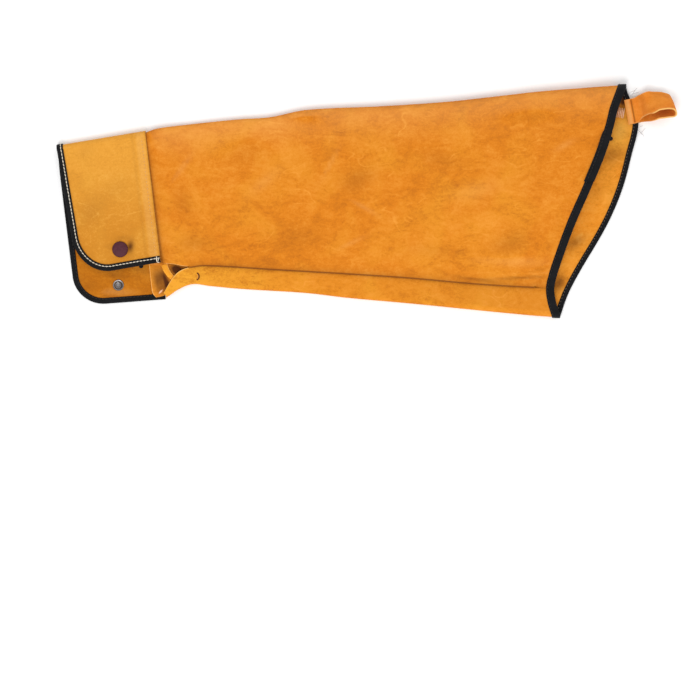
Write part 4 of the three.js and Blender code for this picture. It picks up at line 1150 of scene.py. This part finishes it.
stud_profile = [
    (HOLE_RADIUS, FACE), (STUD_RADIUS, FACE), (STUD_RADIUS, FACE + 0.5), (STUD_RADIUS - 0.35, FACE + 0.85),
    (STUD_RADIUS - 0.9, FACE + 0.8), (BALL_RADIUS + 0.35, FACE + 0.45), (BALL_RADIUS - 0.2, FACE + 1.06),
    (BALL_RADIUS - 0.5, FACE + 1.65), (BALL_RADIUS, FACE + 2.31), (BALL_RADIUS - 0.3, FACE + 2.9),
    (BALL_RADIUS - 0.9, FACE + STUD_HEIGHT), (HOLE_RADIUS, FACE + 3.17)]
post_profile = [
    (0, FACE + 3.1), (RIVET_RADIUS, FACE + 3.1), (RIVET_RADIUS, -FACE), (FLANGE_RADIUS, -FACE),
    (FLANGE_RADIUS, -FACE - 0.54), (FLANGE_RADIUS - 0.4, -FACE - FLANGE), (RIVET_BORE + 0.8, -FACE - FLANGE),
    (RIVET_BORE, -FACE - 0.18), (RIVET_BORE, FACE + STUD_HEIGHT * 0.7), (0, FACE + STUD_HEIGHT * 0.7)]
for name, node, profile, place, normal, material, finish in (
        ("cap", "snap_cap", cap_profile, cap_place, cap_normal, cap_enamel, "cap_enamel"),
        ("socket", "snap_socket", socket_profile, cap_place, cap_normal, snap_nickel, "snap_nickel"),
        ("stud", "snap_stud", stud_profile, stud_place, stud_normal, snap_nickel, "snap_nickel"),
        ("post", "snap_post", post_profile, stud_place, stud_normal, snap_nickel, "snap_nickel")):
    piece = link_object(name, turned(name, profile, place, normal), material)
    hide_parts(node)
    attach(piece, "root")


# Stitches
# Thread through the bindings and the cuff's lap, white where the cuff shows it best. Each stitch is a
# short bead of thread that dips into the material at both ends.
THREAD = 0.62
# Thread is twisted from strands of about 0.2 mm, drawn coarser so that they show
STRAND_SIZE = 0.5
BEAD_SIDES = 6
BEAD_RINGS = 5
SKEW = 0.12
FLOOR_GAP = 0.03

bead_faces = []
for n in range((BEAD_RINGS - 1) * BEAD_SIDES):
    following = n - n % BEAD_SIDES + (n + 1) % BEAD_SIDES
    bead_faces.append([n, following, following + BEAD_SIDES, n + BEAD_SIDES])
bead_faces.append(list(range(BEAD_SIDES))[::-1])
bead_faces.append(list(range((BEAD_RINGS - 1) * BEAD_SIDES, BEAD_RINGS * BEAD_SIDES)))


def beads(points, normals, pitch, length, radius, seed):
    """Corners of one stitch after another along a line, lying on the surface."""
    rng = np.random.default_rng(seed)
    run = lengths(points)
    for start in np.arange(pitch / 2, run[-1] - pitch / 2, pitch):
        begin, end, normal = (
            np.array([np.interp(at, run, values) for values in line.T])
            for line, at in ((points, start - length / 2), (points, start + length / 2), (normals, start)))
        up = unit(normal)
        side = unit(np.cross(up, end - begin))
        skew = side * rng.normal(0, SKEW)
        for t in np.arange(BEAD_RINGS) / (BEAD_RINGS - 1):
            swell = math.sin(math.pi * t)
            centre = begin + (end - begin) * t + skew * (2 * t - 1) + up * (radius * (0.9 * swell - 0.25))
            size = radius * (0.45 + 0.55 * swell)
            for a in 2 * math.pi * np.arange(BEAD_SIDES) / BEAD_SIDES:
                yield centre + side * size * math.cos(a) + up * size * math.sin(a)


def sew(name, runs, material):
    """One object of all the stitches of several runs, none of them below the table. A run is a line,
    its normals, and the stitches' pitch, length and radius."""
    corners = np.array([corner for number, run in enumerate(runs) for corner in beads(*run, number)])
    corners[:, 2] = np.maximum(corners[:, 2], FLOOR_GAP)
    starts = range(0, len(corners), BEAD_RINGS * BEAD_SIDES)
    faces = [[start + n for n in face] for start in starts for face in bead_faces]
    made = link_object(name, to_mesh(name, corners, faces, sharp=80), material)
    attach(made, "root")


def thread(name, colour, hollow_shade="#b9ab92"):
    """Twisted sewing thread, with painted shade in the hollows of its twist."""
    material, tree = new_material(name)
    strands = noise(tree, places_in_mm(tree), STRAND_SIZE, 3, 0.7)
    shade = blend_colours(tree, strands, linear(hollow_shade), linear(colour))
    finish_material(tree, add_node(tree, "ShaderNodeBsdfPrincipled", {
        "Base Color": shade, "Roughness": 0.7, "Specular IOR Level": 0.3}))
    return material


white_thread = thread("white thread", "#f2ebdc")
dark_thread = thread("dark thread", "#2c2725", "#151314")
pale_thread = thread("pale thread", "#e2b87c", "#c48c48")
tape_top = LEATHER / 2 + TAPE_GAP + TAPE
outer_line = edge_points + edge_inward * (TAPE_OUTER - 2.2) + edge_normals * tape_top
inner_line = edge_points + edge_inward * (TAPE_INNER - 1.3) - edge_normals * tape_top
sew("cuff_stitches", [(outer_line, edge_normals, 3.5, 3.15, THREAD * 0.8)], white_thread)
sew("cuff_inner_stitches", [(inner_line, -edge_normals, 3.5, 3.0, THREAD * 0.8)], dark_thread)
lap_q = np.linspace(8, float(flap_edge(1.0)) - 3, 120)
lap_p = 1 - 4.4 / CUFF_LENGTH
lap_line = cuff_place(lap_p, lap_q, flap_height(lap_p, lap_q) + LEATHER / 2)
lap_up = np.tile([0.0, 0.0, 1.0], (120, 1))
sew("lap_stitches", [(lap_line, lap_up, 3.4, 1.7, THREAD * 0.6)], pale_thread)

ring_up = ring_normals * (tape_top + ring_extra[:, None])
ring_outer = ring_points + ring_inward * (ARMHOLE_BINDING - 1.6) + ring_up
ring_inner = ring_points + ring_inward * (ARMHOLE_INNER - 1.4) - ring_up
grey_thread = thread("dusty thread", "#77695a", "#4e453d")
sew("armhole_stitches", [(ring_outer, ring_normals, 3.4, 2.4, THREAD * 0.7)], dark_thread)
sew("armhole_inner_stitches", [(ring_inner, -ring_normals, 3.4, 1.6, THREAD * 0.6)], grey_thread)


# Slit and loose ends
# What shows in the open end of the seam and at the armhole: a raw tongue of the hide curled up
# inside, a nick in the strip, bar tacks, thread ends, lint and two ragged ends of tape.
TONGUE_WIDTH = 6
TONGUE_THICKNESS = 1.0
TONGUE_LEVEL = 5.4
TONGUE_RISE = 1.5
TONGUE_CURL = 3.2
TONGUE_STEPS = 16
TONGUE_COLUMNS = 6
# Middle of the nick's curve, and its reach along and across the sleeve
NICK_PLACE = (50.2, -145)
NICK_SIZE = (3.4, 3.7)
TACK_LEVEL = 5.3
TAPE_END = (-4.6, -134.6, 5.6)
TAPE_END_RADIUS = 2.2
# Where along y the nub of tape lies, and how far it stands out of the binding
NUB_Y = -8.5
NUB_REACH = 1.6


def outer_height(x, y, zones):
    """Height of the body's outer face at a place on some stretches of its section."""
    near = [n for n, row in enumerate(rows) if row[0] in zones]
    part = body_grid[:, near].reshape(-1, 3)
    nearest = part[np.argmin((part[:, 0] - x) ** 2 + (part[:, 1] - y) ** 2)]
    return nearest[2] + LEATHER / 2


def one_thread(first, last, radius):
    """A single straight thread between two places, as a run for sew."""
    points = np.array([first, last], float)
    length = np.linalg.norm(points[1] - points[0])
    return points, np.tile([0.0, 0.0, 1.0], (2, 1)), 0.99 * length, 0.98 * length, radius


tongue_line = through([(18.6, -133), (21, -139), (25, -144.5), (31, -149)], TONGUE_STEPS)
tongue_way = unit(np.gradient(tongue_line, axis=0))
tongue_side = np.stack([-tongue_way[:, 1], tongue_way[:, 0]], axis=1)
tongue_step = np.arange(TONGUE_STEPS + 1)
tongue_half = TONGUE_WIDTH * (1 - 0.35 * tongue_step / TONGUE_STEPS)
tongue_grid = np.empty((TONGUE_STEPS + 1, TONGUE_COLUMNS + 1, 3))
for column in range(TONGUE_COLUMNS + 1):
    across = column / TONGUE_COLUMNS - 0.5
    rise = TONGUE_RISE * np.sin(np.pi * tongue_step / (TONGUE_STEPS + 2))
    tongue_grid[:, column, :2] = tongue_line + tongue_side * (across * tongue_half)[:, None]
    tongue_grid[:, column, 2] = TONGUE_LEVEL + rise - TONGUE_CURL * across ** 2
tongue_shade = np.zeros((2, *tongue_grid.shape[:2]))
tongue_shade[:, :, -1] = -0.35
tongue_shade[:, -4:, :] = 0.25
raw_hide = suede("raw tongue of hide", "#c97c1c", "#ea9a28", "#f6ba55")
tongue_mesh = closed_sheet(
    "tongue", tongue_grid, np.ones((TONGUE_STEPS, TONGUE_COLUMNS), bool), tongue_shade,
    thickness=TONGUE_THICKNESS)
tongue = link_object("tongue", tongue_mesh, raw_hide, raw_hide, cut_edge)
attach(tongue, "root")

# The nick is drawn as a thin dark crescent of painted shade, with a pale lip of raw fibres
nick_turn = np.radians(np.linspace(-75, 75, 16))
nick_line = np.empty((16, 3))
nick_line[:, 0] = NICK_PLACE[0] + NICK_SIZE[0] * np.cos(nick_turn)
nick_line[:, 1] = NICK_PLACE[1] + NICK_SIZE[1] * np.sin(nick_turn)
nick_line[:, 2] = outer_height(NICK_PLACE[0] + NICK_SIZE[0] / 2, NICK_PLACE[1], ("strip", "lower"))
nick_up = np.tile([0.0, 0.0, 1.0], (16, 1))
nick_lip = nick_line - np.array([1.0, 0, 0])
nick_shade = thread("shade in the nick", "#7c420e", "#5a2c08")
raw_pale = thread("raw fibres", "#eab060", "#d58f38")
sew("nick", [(nick_line, nick_up, 0.6, 1.1, 0.75)], nick_shade)
sew("nick_lip", [(nick_lip[3:13], nick_up[3:13], 0.6, 1.1, 0.35)], raw_pale)

tape_z = float(flap_height(1.0, FLAP_LENGTH - 4)) + tape_top
sew("thread_knot", [
    one_thread((11.2, -124.8, tape_z + 0.3), (11.4, -130.4, tape_z + 0.2), 0.6),
    one_thread((11.4, -130.2, tape_z + 0.2), (14.2, -131.4, tape_z - 0.4), 0.5),
    one_thread((13.6, -126.8, tape_z + 0.2), (12.4, -130, tape_z + 0.3), 0.45)], white_thread)
pink_thread = thread("faded pink thread", "#f4cdb0", "#d79c6c")
sew("bar_tack", [
    one_thread((12.8 + n, -163 + 0.6 * n, TACK_LEVEL), (15.6 + n, -158.2 + 0.5 * n, TACK_LEVEL), 0.55)
    for n in (0, 1, 2)], pink_thread)
tack_z = float(loop_grid[..., 2][:, :8].min()) + 0.2
sew("loop_tack", [
    one_thread((472.4 + 1.6 * n, 24.6 - 0.3 * n, tack_z), (470.6 + 1.7 * n, 14.2 - 0.3 * n, tack_z), 0.6)
    for n in range(5)], pink_thread)
hair = thread("grey lint", "#8f8987", "#6f6967")
sew("lint", [one_thread((x0, y0, z), (x1, y1, z - 0.5), size) for x0, y0, x1, y1, z, size in (
    (485, 35, 491.6, 43.6, 9, 0.16), (486, 37, 493.6, 39.4, 9, 0.2), (484.5, 39, 490.4, 41.4, 9, 0.14),
    (486.5, 34, 495.2, 36.8, 8.5, 0.13), (492.4, 2.8, 499.6, -4.8, 3, 0.2), (496, -1.6, 500.6, 3.8, 2, 0.11),
    (494, 4.4, 498.2, 6.2, 3, 0.11))], hair)

bulge = [(0, -0.6), (0.8, -0.55), (1, 0), (0.8, 0.55), (0, 0.6)]
bulge = [(share * TAPE_END_RADIUS, height) for share, height in bulge]
nub_row = np.argmin(np.abs(ring_points[len(ring) // 2:, 1] - NUB_Y)) + len(ring) // 2
nub_place = ring_points[nub_row] - ring_into[nub_row] * NUB_REACH
for name, place in (("tape_end", TAPE_END), ("tape_nub", nub_place)):
    end = link_object(name, turned(name, bulge, place, (0, 0, 1), sides=16), black_tape)
    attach(end, "root")
